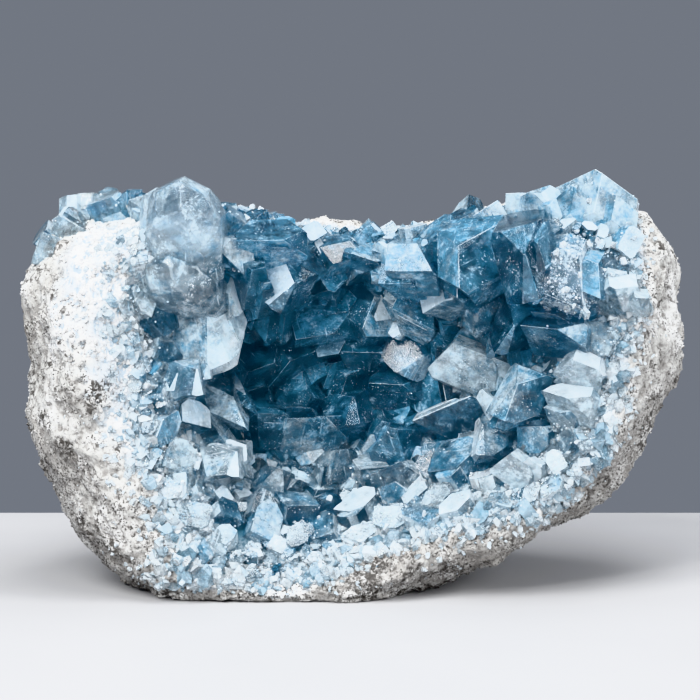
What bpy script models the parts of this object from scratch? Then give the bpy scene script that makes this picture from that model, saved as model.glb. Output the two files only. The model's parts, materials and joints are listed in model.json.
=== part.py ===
"""Celestite geode: a nodule of pale rock whose open hollow is lined by one crust of blue crystals.

Metres, +X to the right, +Y away from the open side, +Z up. The origin is on the flat base,
below the middle of the nodule's width.
"""

import math
from random import Random

import bmesh
import bpy
from mathutils import Matrix, Vector, noise

MM = 0.001

# The nodule. A turn is an angle about the Y axis, in degrees anticlockwise from +X as seen from
# the open side. A tilt is 0 in the middle of the hollow, SIDE_TILT on the outline and 180 behind.
CENTRE = Vector((-2 * MM, 0, 82 * MM))
SIDE_TILT = 105.0
BACK_DEPTH = 76 * MM
BACK_FULLNESS = 2.5
NORMAL_STEP = 1.5

# The outline of the rock from the open side, in millimetres, anticlockwise from the right.
OUTLINE = (
    (131, 97), (130, 108), (127, 121), (123, 135), (117, 146), (101, 152), (72, 149), (45, 143),
    (15, 140), (-15, 140), (-45, 143), (-72, 148), (-95, 150), (-112, 144), (-123, 132), (-128, 118),
    (-129, 104), (-129, 88), (-127, 70), (-124, 52), (-118, 36), (-108, 20), (-92, 5), (-74, -8),
    (-40, -12), (0, -11), (24, -2), (45, 9), (74, 21), (98, 32), (113, 47), (121, 64), (128, 80),
)

# How far back the open side lies, in millimetres, at these shares of the way to the outline.
SHARES = (0.0, 0.2, 0.4, 0.55, 0.7, 0.82, 0.92, 1.0)
SECTIONS = {
    0: (25, 19, 3, -17, -36, -42, -32, 2),
    45: (25, 21, 8, -9, -25, -33, -28, 4),
    90: (25, 28, 29, 27, 21, 15, 18, 36),
    135: (25, 21, 7, -13, -28, -36, -30, 4),
    180: (25, 18, -1, -27, -46, -50, -36, 4),
    225: (25, 19, 0, -23, -44, -52, -42, 0),
    270: (25, 20, 4, -15, -36, -53, -48, -10),
    315: (25, 20, 3, -16, -36, -48, -42, -4),
}

ROCK_ROUNDS = 5
ROCK_DECIMATION = 0.58
HOLLOW_COARSENESS = 0.72

# Its lumps and pits, each with finer ones on it. They are lower under the crystals, and grow to
# full height over this tilt.
LUMP_SPACING = 34 * MM
LUMP_HEIGHT = 6.0 * MM
LUMP_LAYERS = 3
PIT_SPACING = 11 * MM
PIT_HEIGHT = 1.9 * MM
PIT_LAYERS = 2
LAYER_SHRINK = 2.1
LAYER_FALL = 1.0
HOLLOW_SMOOTHNESS = 0.25
BARE_BLEND = 16.0

# The crust: how far it reaches from the middle of the hollow, as (turn, tilt) in degrees, and
# the middle and half spread of the patch that it also covers on top, behind the left shoulder.
CRUST_EDGE = (
    (0, 58), (20, 66), (38, 92), (49, 109), (60, 93), (74, 86), (90, 84), (106, 87), (120, 96),
    (133, 80), (142, 67), (152, 54), (166, 48), (180, 45), (204, 46), (217, 49), (228, 60),
    (240, 60), (252, 63), (264, 57), (280, 53), (300, 55), (325, 60), (345, 63),
)
PATCH_TILT, PATCH_TILT_SPREAD = 104, 13
PATCH_TURN, PATCH_TURN_SPREAD = 138, 22
CRUST_ROUNDS = 3
PATCH_ROUNDS = 2
CRUST_THICKNESS = 3.5 * MM
CRUST_ROOT = 6 * MM
CRUST_EDGE_DROP = 1.5 * MM
CRUST_EDGE_SHARPNESS = 6
GAP = 0.35 * MM
LOWEST_CRYSTAL = 4 * MM

# Cuts that shape each habit from a cube of side 1 whose tip is at +Z: (direction, distance).
HABITS = {
    "wedge": (
        ((0.0, 0.78, 0.62), 0.34), ((0.0, -0.70, 0.71), 0.31), ((0.62, 0.0, 0.78), 0.46),
        ((0.77, 0.64, 0.0), 0.51), ((-0.77, 0.64, 0.0), 0.52),
    ),
    "point": (
        ((0.55, 0.50, 0.67), 0.33), ((-0.58, 0.48, 0.66), 0.37), ((0.50, -0.58, 0.64), 0.35),
        ((-0.52, -0.52, 0.68), 0.31),
    ),
    "block": (
        ((0.66, 0.0, 0.75), 0.44), ((-0.52, 0.20, 0.83), 0.42), ((0.74, -0.67, 0.0), 0.50),
        ((0.0, 0.66, 0.75), 0.50),
    ),
    "cleaved": (
        ((0.34, -0.42, 0.84), 0.24), ((-0.72, 0.25, 0.65), 0.43), ((0.80, 0.60, 0.0), 0.48),
        ((0.20, 0.75, 0.63), 0.42),
    ),
    "rhomb": (
        ((0.80, 0.60, 0.0), 0.37), ((-0.80, -0.60, 0.0), 0.38), ((0.0, 0.55, 0.84), 0.38),
        ((0.0, -0.60, 0.80), 0.34),
    ),
    "dome": (
        ((0.85, 0.20, 0.49), 0.47), ((0.25, 0.83, 0.50), 0.46), ((-0.62, 0.62, 0.48), 0.48),
        ((-0.84, -0.25, 0.48), 0.46), ((-0.20, -0.86, 0.47), 0.45), ((0.62, -0.63, 0.47), 0.47),
        ((0.42, 0.30, 0.86), 0.45), ((-0.35, 0.38, 0.86), 0.46), ((-0.30, -0.42, 0.86), 0.45),
        ((0.40, -0.38, 0.83), 0.46), ((0.71, 0.71, 0.0), 0.56), ((-0.71, 0.71, 0.0), 0.57),
        ((0.71, -0.71, 0.0), 0.57), ((-0.71, -0.71, 0.0), 0.56),
    ),
}
FILL_HABITS = ("wedge", "point", "block", "cleaved", "rhomb")

# The largest crystals, chosen one by one: where each is rooted on the open side (x, z), its
# width, thickness and length, in millimetres, the way that its tip points, and its habit.
LARGE_CRYSTALS = (
    ((-64, 139), (29, 28, 41), (-0.05, -0.65, 0.72), "dome"),
    ((-67, 122), (29, 26, 36), (-0.12, -0.88, 0.32), "dome"),
    ((-60, 104), (32, 28, 36), (0.15, -0.95, -0.05), "block"),
    ((-49, 141), (14, 15, 24), (0.10, -0.80, 0.40), "point"),
    ((-33, 135), (28, 20, 34), (0.10, -0.90, 0.10), "wedge"),
    ((-7, 128), (25, 17, 30), (0.10, -0.85, -0.20), "cleaved"),
    ((9, 126), (17, 15, 28), (-0.10, -0.90, 0.10), "wedge"),
    ((25, 126), (20, 21, 32), (-0.15, -0.95, -0.02), "rhomb"),
    ((47, 129), (25, 28, 38), (-0.20, -0.85, -0.35), "point"),
    ((67, 134), (22, 27, 40), (-0.10, -0.90, -0.15), "block"),
    ((83, 127), (26, 29, 42), (-0.25, -0.85, -0.35), "rhomb"),
    ((94, 149), (32, 22, 28), (0.00, -0.55, 0.78), "point"),
    ((75, 147), (17, 12, 18), (-0.10, -0.40, 0.85), "block"),
    ((46, 143), (12, 9, 20), (0.15, -0.50, 0.75), "cleaved"),
    ((-43, 122), (10, 24, 34), (0.35, -0.85, 0.20), "wedge"),
    ((-28, 121), (21, 19, 30), (0.10, -0.90, -0.10), "block"),
    ((-13, 118), (22, 20, 30), (0.20, -0.90, -0.10), "point"),
    ((-34, 107), (23, 21, 30), (0.30, -0.85, 0.10), "cleaved"),
    ((-14, 102), (25, 24, 32), (0.15, -0.90, -0.20), "wedge"),
    ((-26, 89), (27, 22, 32), (0.20, -0.90, -0.25), "cleaved"),
    ((8, 104), (26, 25, 36), (-0.15, -0.92, -0.20), "point"),
    ((26, 108), (20, 21, 32), (-0.10, -0.92, -0.15), "rhomb"),
    ((37, 103), (13, 16, 28), (-0.20, -0.92, 0.10), "point"),
    ((54, 110), (16, 24, 34), (-0.25, -0.92, -0.10), "dome"),
    ((67, 109), (17, 20, 32), (-0.30, -0.85, -0.30), "block"),
    ((50, 83), (26, 20, 36), (-0.40, -0.80, 0.35), "cleaved"),
    ((23, 90), (24, 16, 30), (0.10, -0.95, -0.10), "block"),
    ((2, 87), (21, 20, 30), (0.10, -0.95, 0.15), "rhomb"),
    ((84, 101), (24, 19, 34), (-0.40, -0.85, 0.15), "wedge"),
    ((102, 118), (17, 17, 24), (-0.25, -0.90, 0.20), "point"),
    ((-55, 74), (18, 16, 42), (0.45, -0.75, -0.35), "point"),
    ((-69, 82), (17, 15, 28), (0.40, -0.85, 0.20), "block"),
    ((-19, 54), (27, 18, 34), (0.20, -0.80, 0.45), "wedge"),
    ((-2, 61), (21, 17, 30), (0.05, -0.85, 0.40), "block"),
    ((19, 73), (22, 20, 30), (-0.10, -0.95, 0.20), "wedge"),
    ((37, 91), (17, 18, 28), (-0.25, -0.92, 0.20), "point"),
    ((42, 60), (27, 15, 32), (-0.30, -0.75, 0.50), "rhomb"),
    ((17, 51), (23, 18, 32), (-0.05, -0.80, 0.50), "point"),
    ((0, 73), (24, 19, 28), (0.10, -0.92, 0.30), "cleaved"),
    ((58, 56), (14, 18, 30), (-0.40, -0.80, 0.35), "block"),
    ((-23, 71), (21, 19, 30), (0.25, -0.92, 0.15), "point"),
    ((71, 75), (20, 22, 32), (-0.45, -0.80, 0.20), "block"),
    ((88, 75), (18, 16, 26), (-0.45, -0.80, 0.20), "wedge"),
    ((91, 88), (18, 15, 26), (-0.40, -0.85, 0.10), "cleaved"),
    ((-42, 85), (19, 20, 30), (0.40, -0.85, 0.05), "wedge"),
    ((-41, 59), (15, 20, 32), (0.45, -0.75, 0.40), "rhomb"),
    ((-33, 37), (18, 15, 26), (0.25, -0.75, 0.60), "point"),
    ((-54, 46), (19, 15, 26), (0.40, -0.80, 0.40), "block"),
    ((19, 39), (15, 15, 26), (-0.10, -0.75, 0.60), "wedge"),
    ((-6, 42), (16, 14, 28), (0.10, -0.80, 0.50), "cleaved"),
    ((66, 47), (14, 14, 26), (-0.40, -0.80, 0.40), "cleaved"),
)

LARGE_SPIN = 0.5

# The rest of the crystals fill in between, largest in the middle of the hollow and low on the
# patch. Lengths are shares of the width, and each range is one of shares of the usual size.
SEED = 11
FILL_TRIES = 2600
FILL_MIDDLE_WIDTH = 19 * MM
FILL_EDGE_WIDTH = 11 * MM
FILL_WIDTH_FALL = 2.5
FILL_CROWDING = 0.6
FILL_EDGE_MARGIN = 2.0
FILL_SPACING = 0.82
FILL_LENGTH = 1.55
FILL_LEAN = 0.42
PATCH_TRIES = 160
PATCH_WIDTH = 13 * MM
PATCH_LENGTH = 1.15
PATCH_SHARE = 0.9
WIDTH_RANGE = (0.75, 1.2)
THICKNESS_RANGE = (0.6, 1.0)
LENGTH_RANGE = (0.85, 1.25)
SUNK_SHARE = 0.30


def hermite(low, high, slope_low, slope_high, width, share):
    """A cubic from low to high with those slopes, at a share of its width."""
    square, cube = share**2, share**3
    return (
        low * (2 * cube - 3 * square + 1)
        + high * (3 * square - 2 * cube)
        + slope_low * width * (cube - 2 * square + share)
        + slope_high * width * (cube - square)
    )


def around(knots, turn):
    """The value at a turn of a smooth closed curve through (turn, value) knots."""
    turn %= 360
    count = len(knots)
    after = next((i for i, (at, _) in enumerate(knots) if at > turn), count)
    ends = []
    for i in range(after - 2, after + 2):
        at, value = knots[i % count]
        ends.append((at + 360 * (i // count), value))
    (a0, v0), (a1, v1), (a2, v2), (a3, v3) = ends
    width = a2 - a1
    return hermite(v1, v2, (v2 - v0) / (a2 - a0), (v3 - v1) / (a3 - a1), width, (turn - a1) / width)


SHARE_TILTS = tuple(math.degrees(math.asin(share)) * SIDE_TILT / 90 for share in SHARES)


def along(places, values, at):
    """The value at a place of a smooth open curve that starts level."""
    last = len(places) - 1
    i = min(next((k for k, p in enumerate(places) if p > at), last), last) - 1
    width = places[i + 1] - places[i]
    slope_low = 0.0 if i == 0 else (values[i + 1] - values[i - 1]) / (places[i + 1] - places[i - 1])
    j = min(i + 2, last)
    slope_high = (values[j] - values[i]) / (places[j] - places[i])
    return hermite(values[i], values[i + 1], slope_low, slope_high, width, (at - places[i]) / width)


def outline_knots():
    """The outline as (turn, distance from the centre) knots, in degrees and metres."""
    knots = []
    for x, z in OUTLINE:
        across, up = x * MM - CENTRE.x, z * MM - CENTRE.z
        knots.append((math.degrees(math.atan2(up, across)) % 360, math.hypot(across, up)))
    return sorted(knots)


OUTLINE_KNOTS = outline_knots()


def front_depth(tilt, turn):
    """How far back the open side lies, up to the outline."""
    knots = [(at, along(SHARE_TILTS, depths, tilt)) for at, depths in SECTIONS.items()]
    return around(knots, turn) * MM


def rock_point(tilt, turn):
    """A point of the smooth nodule, before its lumps."""
    if tilt <= SIDE_TILT:
        share = math.sin(math.radians(90 * tilt / SIDE_TILT))
        depth = front_depth(tilt, turn)
    else:
        side = front_depth(SIDE_TILT, turn)
        swing = math.radians(min(90.0, 90 * (tilt - SIDE_TILT) / (180 - SIDE_TILT)))
        share = max(0.0, math.cos(swing)) ** (2 / BACK_FULLNESS)
        depth = side + (BACK_DEPTH - side) * math.sin(swing) ** (2 / BACK_FULLNESS)
    reach = share * around(OUTLINE_KNOTS, turn)
    angle = math.radians(turn)
    return Vector((CENTRE.x + reach * math.cos(angle), depth, CENTRE.z + reach * math.sin(angle)))


def rock_normal(tilt, turn):
    """The way out of the rock at a point of the smooth nodule."""
    tilt = min(max(tilt, 2 * NORMAL_STEP), 180 - 2 * NORMAL_STEP)
    over = rock_point(tilt + NORMAL_STEP, turn) - rock_point(tilt - NORMAL_STEP, turn)
    round_it = rock_point(tilt, turn + NORMAL_STEP) - rock_point(tilt, turn - NORMAL_STEP)
    return round_it.cross(over).normalized()


def tilt_and_turn(direction):
    """The tilt and turn, in degrees, that a unit direction from the middle of a sphere stands for."""
    tilt = math.degrees(math.acos(max(-1.0, min(1.0, -direction.y))))
    return tilt, math.degrees(math.atan2(direction.z, direction.x)) % 360


def tilt_at(x, z):
    """The tilt and turn of the point of the open side with this x and z."""
    across, up = x - CENTRE.x, z - CENTRE.z
    turn = math.degrees(math.atan2(up, across)) % 360
    share = min(0.999, math.hypot(across, up) / around(OUTLINE_KNOTS, turn))
    return math.degrees(math.asin(share)) * SIDE_TILT / 90, turn


def lump_height(point, tilt, turn):
    """How far the rough surface stands out from the smooth nodule."""
    lump = noise.fractal(point / LUMP_SPACING, LAYER_FALL, LAYER_SHRINK, LUMP_LAYERS)
    pit = noise.fractal(point / PIT_SPACING, LAYER_FALL, LAYER_SHRINK, PIT_LAYERS)
    edge = around(CRUST_EDGE, turn)
    bare = min(1.0, max(0.0, (tilt - edge) / BARE_BLEND + 0.5))
    share = HOLLOW_SMOOTHNESS + (1 - HOLLOW_SMOOTHNESS) * bare
    return share * (LUMP_HEIGHT * lump + PIT_HEIGHT * pit)


def new_object(name, bm, collection):
    """A mesh object made from bm, in a collection."""
    mesh = bpy.data.meshes.new(name)
    bm.to_mesh(mesh)
    bm.free()
    obj = bpy.data.objects.new(name, mesh)
    collection.objects.link(obj)
    return obj


def evaluated_mesh(obj):
    """The object's mesh with its modifiers applied."""
    graph = bpy.context.evaluated_depsgraph_get()
    return bpy.data.meshes.new_from_object(obj.evaluated_get(graph))


def rock_mesh(collection):
    """The rough nodule as a bmesh, before its base is cut flat."""
    bm = bmesh.new()
    bmesh.ops.create_icosphere(bm, subdivisions=ROCK_ROUNDS, radius=1.0)
    for vert in bm.verts:
        lean, turn = tilt_and_turn(vert.co.normalized())
        tilt = 180 * (lean / 180) ** HOLLOW_COARSENESS
        smooth = rock_point(tilt, turn)
        vert.co = smooth + rock_normal(tilt, turn) * lump_height(smooth, tilt, turn)
    dense = new_object("rock_dense", bm, collection)
    thinned = dense.modifiers.new("thin", "DECIMATE")
    thinned.ratio = ROCK_DECIMATION
    bm = bmesh.new()
    bm.from_mesh(evaluated_mesh(dense))
    bpy.data.objects.remove(dense)
    bm.normal_update()
    return bm


def cut_flat(bm, place, direction):
    """Takes off what lies beyond a plane, and closes the cut."""
    everything = bm.verts[:] + bm.edges[:] + bm.faces[:]
    bmesh.ops.bisect_plane(bm, geom=everything, plane_co=place, plane_no=direction, clear_outer=True)
    bmesh.ops.holes_fill(bm, edges=[e for e in bm.edges if e.is_boundary], sides=0)


def make_rock(collection):
    """The nodule, with its flat base."""
    bm = rock_mesh(collection)
    cut_flat(bm, (0, 0, 0), (0, 0, -1))
    return new_object("rock_shell", bm, collection)


def make_rock_cutter(collection):
    """The nodule swollen by the gap, to trim the back of the crust."""
    bm = rock_mesh(collection)
    for vert in bm.verts:
        vert.co += vert.normal * GAP
    return new_object("rock_cutter", bm, collection)


def layer_point(tilt, turn, is_front, share):
    """A point of a layer on the rock that dips under the surface where its share reaches 1."""
    height = CRUST_THICKNESS if is_front else -CRUST_ROOT
    height += (-CRUST_EDGE_DROP - height) * share**CRUST_EDGE_SHARPNESS
    return rock_point(tilt, turn) + rock_normal(tilt, turn) * height


def make_crust_layer(collection):
    """The layer that lines the hollow and joins the crystals, its back sunk in the rock."""
    bm = bmesh.new()
    bmesh.ops.create_icosphere(bm, subdivisions=CRUST_ROUNDS, radius=1.0)
    for vert in bm.verts:
        lean, turn = tilt_and_turn(vert.co.normalized())
        is_front = lean <= 90
        share = (lean if is_front else 180 - lean) / 90
        vert.co = layer_point(share * around(CRUST_EDGE, turn), turn, is_front, share)
    return new_object("crystal_crust", bm, collection)


def patch_place(across, over):
    """The tilt and turn of a place on the patch, each coordinate from -1 to 1."""
    return PATCH_TILT + PATCH_TILT_SPREAD * over, PATCH_TURN + PATCH_TURN_SPREAD * across


def make_patch_layer(collection):
    """The layer under the crystals of the patch."""
    bm = bmesh.new()
    bmesh.ops.create_icosphere(bm, subdivisions=PATCH_ROUNDS, radius=1.0)
    for vert in bm.verts:
        across, over = vert.co.x, vert.co.z
        is_front, share = vert.co.y <= 0, min(1.0, math.hypot(across, over))
        vert.co = layer_point(*patch_place(across, over), is_front, share)
    bmesh.ops.recalc_face_normals(bm, faces=bm.faces)
    return new_object("patch_layer", bm, collection)


def habit_mesh(name):
    """One crystal of a habit, in a box of side 1 with its tip at +Z."""
    bm = bmesh.new()
    bmesh.ops.create_cube(bm, size=1.0)
    for direction, distance in HABITS[name]:
        cut_flat(bm, Vector(direction) * distance, Vector(direction))
    bmesh.ops.recalc_face_normals(bm, faces=bm.faces)
    mesh = bpy.data.meshes.new(name)
    bm.to_mesh(mesh)
    bm.free()
    return mesh


def crystal_matrix(root, size, tip, spin):
    """The placing of a unit crystal: rooted at a point, its tip pointing along tip."""
    turned = tip.to_track_quat("Z", "Y").to_matrix().to_4x4() @ Matrix.Rotation(spin, 4, "Z")
    scaled = Matrix.Diagonal((*size, 1.0))
    centre = root + tip * size[2] * (0.5 - SUNK_SHARE)
    return Matrix.Translation(centre) @ turned @ scaled


def large_crystals():
    """(matrix, habit, root, width) of each crystal that is chosen by hand."""
    rng = Random(SEED)
    placed = []
    for (x, z), size, tip, habit in LARGE_CRYSTALS:
        root = rock_point(*tilt_at(x * MM, z * MM))
        size = Vector(size) * MM
        spin = rng.uniform(-LARGE_SPIN, LARGE_SPIN)
        matrix = crystal_matrix(root, size, Vector(tip).normalized(), spin)
        placed.append((matrix, habit, root, max(size.x, size.y)))
    return placed


def fill_places(rng):
    """Tries for the crystals that fill in, as (tilt, turn, width, length)."""
    for _ in range(FILL_TRIES):
        turn = rng.uniform(0, 360)
        share = rng.uniform(0.0, 1.0) ** FILL_CROWDING
        width = FILL_MIDDLE_WIDTH + (FILL_EDGE_WIDTH - FILL_MIDDLE_WIDTH) * share**FILL_WIDTH_FALL
        width *= rng.uniform(*WIDTH_RANGE)
        tilt = share * (around(CRUST_EDGE, turn) - FILL_EDGE_MARGIN)
        yield tilt, turn, width, width * FILL_LENGTH * rng.uniform(*LENGTH_RANGE)
    for _ in range(PATCH_TRIES):
        across, over = rng.uniform(-PATCH_SHARE, PATCH_SHARE), rng.uniform(-PATCH_SHARE, PATCH_SHARE)
        width = PATCH_WIDTH * rng.uniform(*WIDTH_RANGE)
        yield *patch_place(across, over), width, width * PATCH_LENGTH * rng.uniform(*LENGTH_RANGE)


def fill_crystals(placed):
    """All crystals: those already placed and those between them, as (matrix, habit, root, width)."""
    rng = Random(SEED + 1)
    found = list(placed)
    for tilt, turn, width, length in fill_places(rng):
        thickness = width * rng.uniform(*THICKNESS_RANGE)
        lean = Vector([rng.uniform(-1, 1) for _ in range(3)]) * FILL_LEAN
        habit = rng.choice(FILL_HABITS)
        spin = rng.uniform(0, math.pi)
        root = rock_point(tilt, turn)
        if root.z < LOWEST_CRYSTAL + width / 2:
            continue
        if any((root - r).length < FILL_SPACING * (width + w) / 2 for _, _, r, w in found):
            continue
        tip = (rock_normal(tilt, turn) + lean).normalized()
        found.append((crystal_matrix(root, (width, thickness, length), tip, spin), habit, root, width))
    return found


def make_crystals(collection):
    """All crystals as separate solids, to be joined to the crust."""
    meshes = {name: habit_mesh(name) for name in HABITS}
    for number, (matrix, habit, _, _) in enumerate(fill_crystals(large_crystals())):
        mesh = meshes[habit].copy()
        mesh.transform(matrix)
        obj = bpy.data.objects.new(f"crystal_{number:03d}", mesh)
        collection.objects.link(obj)


def material(name, colour, roughness):
    """A plain finish."""
    made = bpy.data.materials.new(name)
    made.use_nodes = True
    shader = made.node_tree.nodes["Principled BSDF"]
    shader.inputs["Base Color"].default_value = (*colour, 1.0)
    shader.inputs["Roughness"].default_value = roughness
    shader.inputs["Metallic"].default_value = 0.0
    return made


def new_collection(name, hidden=False):
    """A collection in the scene. A hidden one holds shapes that only cut or join."""
    made = bpy.data.collections.new(name)
    made.hide_render = hidden
    bpy.context.scene.collection.children.link(made)
    return made


def boolean(obj, name, operation, other):
    """Adds a Boolean with an object or with every object of a collection."""
    modifier = obj.modifiers.new(name, "BOOLEAN")
    modifier.operation = operation
    if isinstance(other, bpy.types.Collection):
        modifier.operand_type = "COLLECTION"
        modifier.collection = other
    else:
        modifier.object = other


def keep_main_body(obj):
    """Applies the modifiers, and drops the crumbs that trimming leaves beside the main body."""
    mesh = evaluated_mesh(obj)
    obj.modifiers.clear()
    bm = bmesh.new()
    bm.from_mesh(mesh)
    left = set(bm.verts)
    bodies = []
    while left:
        start = left.pop()
        body, edge_of_body = {start}, [start]
        while edge_of_body:
            vert = edge_of_body.pop()
            fresh = {e.other_vert(vert) for e in vert.link_edges} - body
            body |= fresh
            edge_of_body.extend(fresh)
        left -= body
        bodies.append(body)
    main_body = max(bodies, key=len)
    bmesh.ops.delete(bm, geom=[v for v in bm.verts if v not in main_body], context="VERTS")
    bm.to_mesh(mesh)
    bm.free()
    obj.data = mesh


def hide_helpers(collection):
    """Marks the shapes that only cut or join."""
    for obj in collection.objects:
        obj.hide_render = True
        obj.display_type = "WIRE"


def main():
    """Builds the geode."""
    for obj in list(bpy.data.objects):
        bpy.data.objects.remove(obj)
    geode = new_collection("celestite_geode")
    cutters = new_collection("cutters", hidden=True)
    crystals = new_collection("crystals", hidden=True)
    rock = make_rock(geode)
    rock.data.materials.append(material("pale_rock", (0.72, 0.69, 0.64), 0.9))
    crust = make_crust_layer(geode)
    crust.data.materials.append(material("celestite", (0.30, 0.50, 0.66), 0.1))
    make_patch_layer(crystals)
    make_crystals(crystals)
    hide_helpers(crystals)
    boolean(crust, "join_crystals", "UNION", crystals)
    cutter = make_rock_cutter(cutters)
    hide_helpers(cutters)
    boolean(crust, "trim_back", "DIFFERENCE", cutter)
    keep_main_body(crust)


main()
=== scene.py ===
"""Looks of a celestite geode: a nodule of pale rock with a hollow full of blue crystals.

The rock gets a rough skin that runs from sugary white beside the crystals to speckled beige. The
crust of crystals is modelled again with fine edges, stepped companions and many more small
crystals. A druse of tiny crystals and loose grains cover the rim, the rock and the frosted faces.
Metres, +Z up, and the open side looks along -Y.
"""

import json
import logging
import math
from collections.abc import Iterator, Sequence
from dataclasses import dataclass, field
from enum import Enum
from random import Random

import bpy
import numpy as np
from mathutils import Matrix, Vector
from mathutils.kdtree import KDTree

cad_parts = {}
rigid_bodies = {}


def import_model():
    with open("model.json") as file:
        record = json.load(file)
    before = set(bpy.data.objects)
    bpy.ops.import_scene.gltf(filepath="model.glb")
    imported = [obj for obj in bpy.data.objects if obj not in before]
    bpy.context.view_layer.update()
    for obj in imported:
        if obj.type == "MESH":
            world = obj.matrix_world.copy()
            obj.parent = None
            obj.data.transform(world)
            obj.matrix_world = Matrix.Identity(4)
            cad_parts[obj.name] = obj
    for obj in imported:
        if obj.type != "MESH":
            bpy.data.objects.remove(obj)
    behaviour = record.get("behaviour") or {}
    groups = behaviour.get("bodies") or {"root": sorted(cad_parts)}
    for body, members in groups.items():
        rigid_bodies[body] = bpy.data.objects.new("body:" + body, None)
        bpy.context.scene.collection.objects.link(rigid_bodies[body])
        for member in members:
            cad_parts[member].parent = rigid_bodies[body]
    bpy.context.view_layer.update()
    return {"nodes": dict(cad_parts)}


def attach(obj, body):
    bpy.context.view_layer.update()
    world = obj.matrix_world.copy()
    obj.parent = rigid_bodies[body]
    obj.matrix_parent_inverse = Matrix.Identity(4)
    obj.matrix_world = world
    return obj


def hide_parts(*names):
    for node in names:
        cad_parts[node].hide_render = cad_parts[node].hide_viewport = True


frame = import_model()
LOG = logging.getLogger("geode")
MM = 0.001
Colour = tuple[float, float, float]
Cut = tuple[tuple[float, float, float], float]
Knots = Sequence[tuple[float, float]]
Range = tuple[float, ...]
Socket = bpy.types.NodeSocket
Value = Socket | float | Colour

# A random cut faces an edge or corner, each part of its direction off by up to CUT_LEAN, and lies
# at a share of the way there between CUT_DEPTHS. Points closer than a chamfer's width divided by
# CHAMFER_TO_MERGE are merged.
CUT_LEAN = 0.4
CUT_DEPTHS = (0.74, 0.90)
CHAMFER_TO_MERGE = 20


# Forms that the solids follow, in millimetres and degrees. A turn is anticlockwise from +X as
# seen from the open side. A tilt is 0 in the middle of the hollow and 105 on the outline.
# OUTLINE has (x, z). SECTIONS gives by turn how far back the open side lies at each of SHARES
# of the way out, and CRUST_EDGE gives by turn the tilt at which the crystals end.

OUTLINE = (
    (131, 97), (130, 108), (127, 121), (123, 135), (117, 146), (101, 152), (72, 149), (45, 143),
    (15, 140), (-15, 140), (-45, 143), (-72, 148), (-95, 150), (-112, 144), (-123, 132), (-128, 118),
    (-129, 104), (-129, 88), (-127, 70), (-124, 52), (-118, 36), (-108, 20), (-92, 5), (-74, -8),
    (-40, -12), (0, -11), (24, -2), (45, 9), (74, 21), (98, 32), (113, 47), (121, 64), (128, 80),
)
SHARES = (0.0, 0.2, 0.4, 0.55, 0.7, 0.82, 0.92, 1.0)
SECTIONS = {
    0: (25, 19, 3, -17, -36, -42, -32, 2),
    45: (25, 21, 8, -9, -25, -33, -28, 4),
    90: (25, 28, 29, 27, 21, 15, 18, 36),
    135: (25, 21, 7, -13, -28, -36, -30, 4),
    180: (25, 18, -1, -27, -46, -50, -36, 4),
    225: (25, 19, 0, -23, -44, -52, -42, 0),
    270: (25, 20, 4, -15, -36, -53, -48, -10),
    315: (25, 20, 3, -16, -36, -48, -42, -4),
}
CRUST_EDGE = (
    (0, 58), (20, 66), (38, 92), (49, 109), (60, 93), (74, 86), (90, 84), (106, 87), (120, 96),
    (133, 80), (142, 67), (152, 54), (166, 48), (180, 45), (204, 46), (217, 49), (228, 60),
    (240, 60), (252, 63), (264, 57), (280, 53), (300, 55), (325, 60), (345, 63),
)

# Looks round the rim, by turn: how far the sugary white reaches out over the rock and the druse
# spreads from the edge, both in millimetres, and how far frost reaches in, in degrees of tilt.
WHITE_REACH = (
    (0, 12), (45, 14), (90, 16), (125, 40), (150, 60), (175, 48), (200, 22), (225, 11), (250, 8), (285, 7),
    (315, 9),
)
DRUSE_REACH = (
    (0, 11), (45, 6), (90, 4), (125, 8), (150, 12), (180, 15), (210, 17), (240, 16), (270, 13), (315, 10),
)
FROST_REACH = (
    (0, 17), (30, 12), (60, 6), (90, 4), (120, 6), (150, 9), (180, 11), (225, 22), (270, 28), (315, 21),
)


def hermite(
    low: float, high: float, slope_low: float, slope_high: float, width: float, share: float
) -> float:
    """A cubic from low to high with those slopes.

    Args:
        low: The value at the start.
        high: The value at the end.
        slope_low: The slope at the start.
        slope_high: The slope at the end.
        width: The distance between the ends.
        share: The share of the width at which the cubic is read.

    Returns:
        The value there.
    """
    square, cube = share**2, share**3
    return (
        low * (2 * cube - 3 * square + 1)
        + high * (3 * square - 2 * cube)
        + slope_low * width * (cube - 2 * square + share)
        + slope_high * width * (cube - square)
    )


def around(knots: Knots, turn: float) -> float:
    """Reads a smooth closed curve through knots.

    Args:
        knots: The knots, as (turn in degrees, value), by rising turn.
        turn: Where the curve is read, in degrees.

    Returns:
        The value there.
    """
    turn %= 360
    count = len(knots)
    after = next((i for i, (at, _) in enumerate(knots) if at > turn), count)
    ends = []
    for i in range(after - 2, after + 2):
        at, value = knots[i % count]
        ends.append((at + 360 * (i // count), value))
    (a0, v0), (a1, v1), (a2, v2), (a3, v3) = ends
    width = a2 - a1
    return hermite(v1, v2, (v2 - v0) / (a2 - a0), (v3 - v1) / (a3 - a1), width, (turn - a1) / width)


def along(places: Sequence[float], values: Sequence[float], at: float) -> float:
    """Reads a smooth open curve that starts level.

    Args:
        places: Where the knots are, rising.
        values: The values at the knots.
        at: Where the curve is read.

    Returns:
        The value there.
    """
    last = len(places) - 1
    i = min(next((k for k, p in enumerate(places) if p > at), last), last) - 1
    width = places[i + 1] - places[i]
    slope_low = 0.0 if i == 0 else (values[i + 1] - values[i - 1]) / (places[i + 1] - places[i - 1])
    j = min(i + 2, last)
    slope_high = (values[j] - values[i]) / (places[j] - places[i])
    return hermite(values[i], values[i + 1], slope_low, slope_high, width, (at - places[i]) / width)


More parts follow.
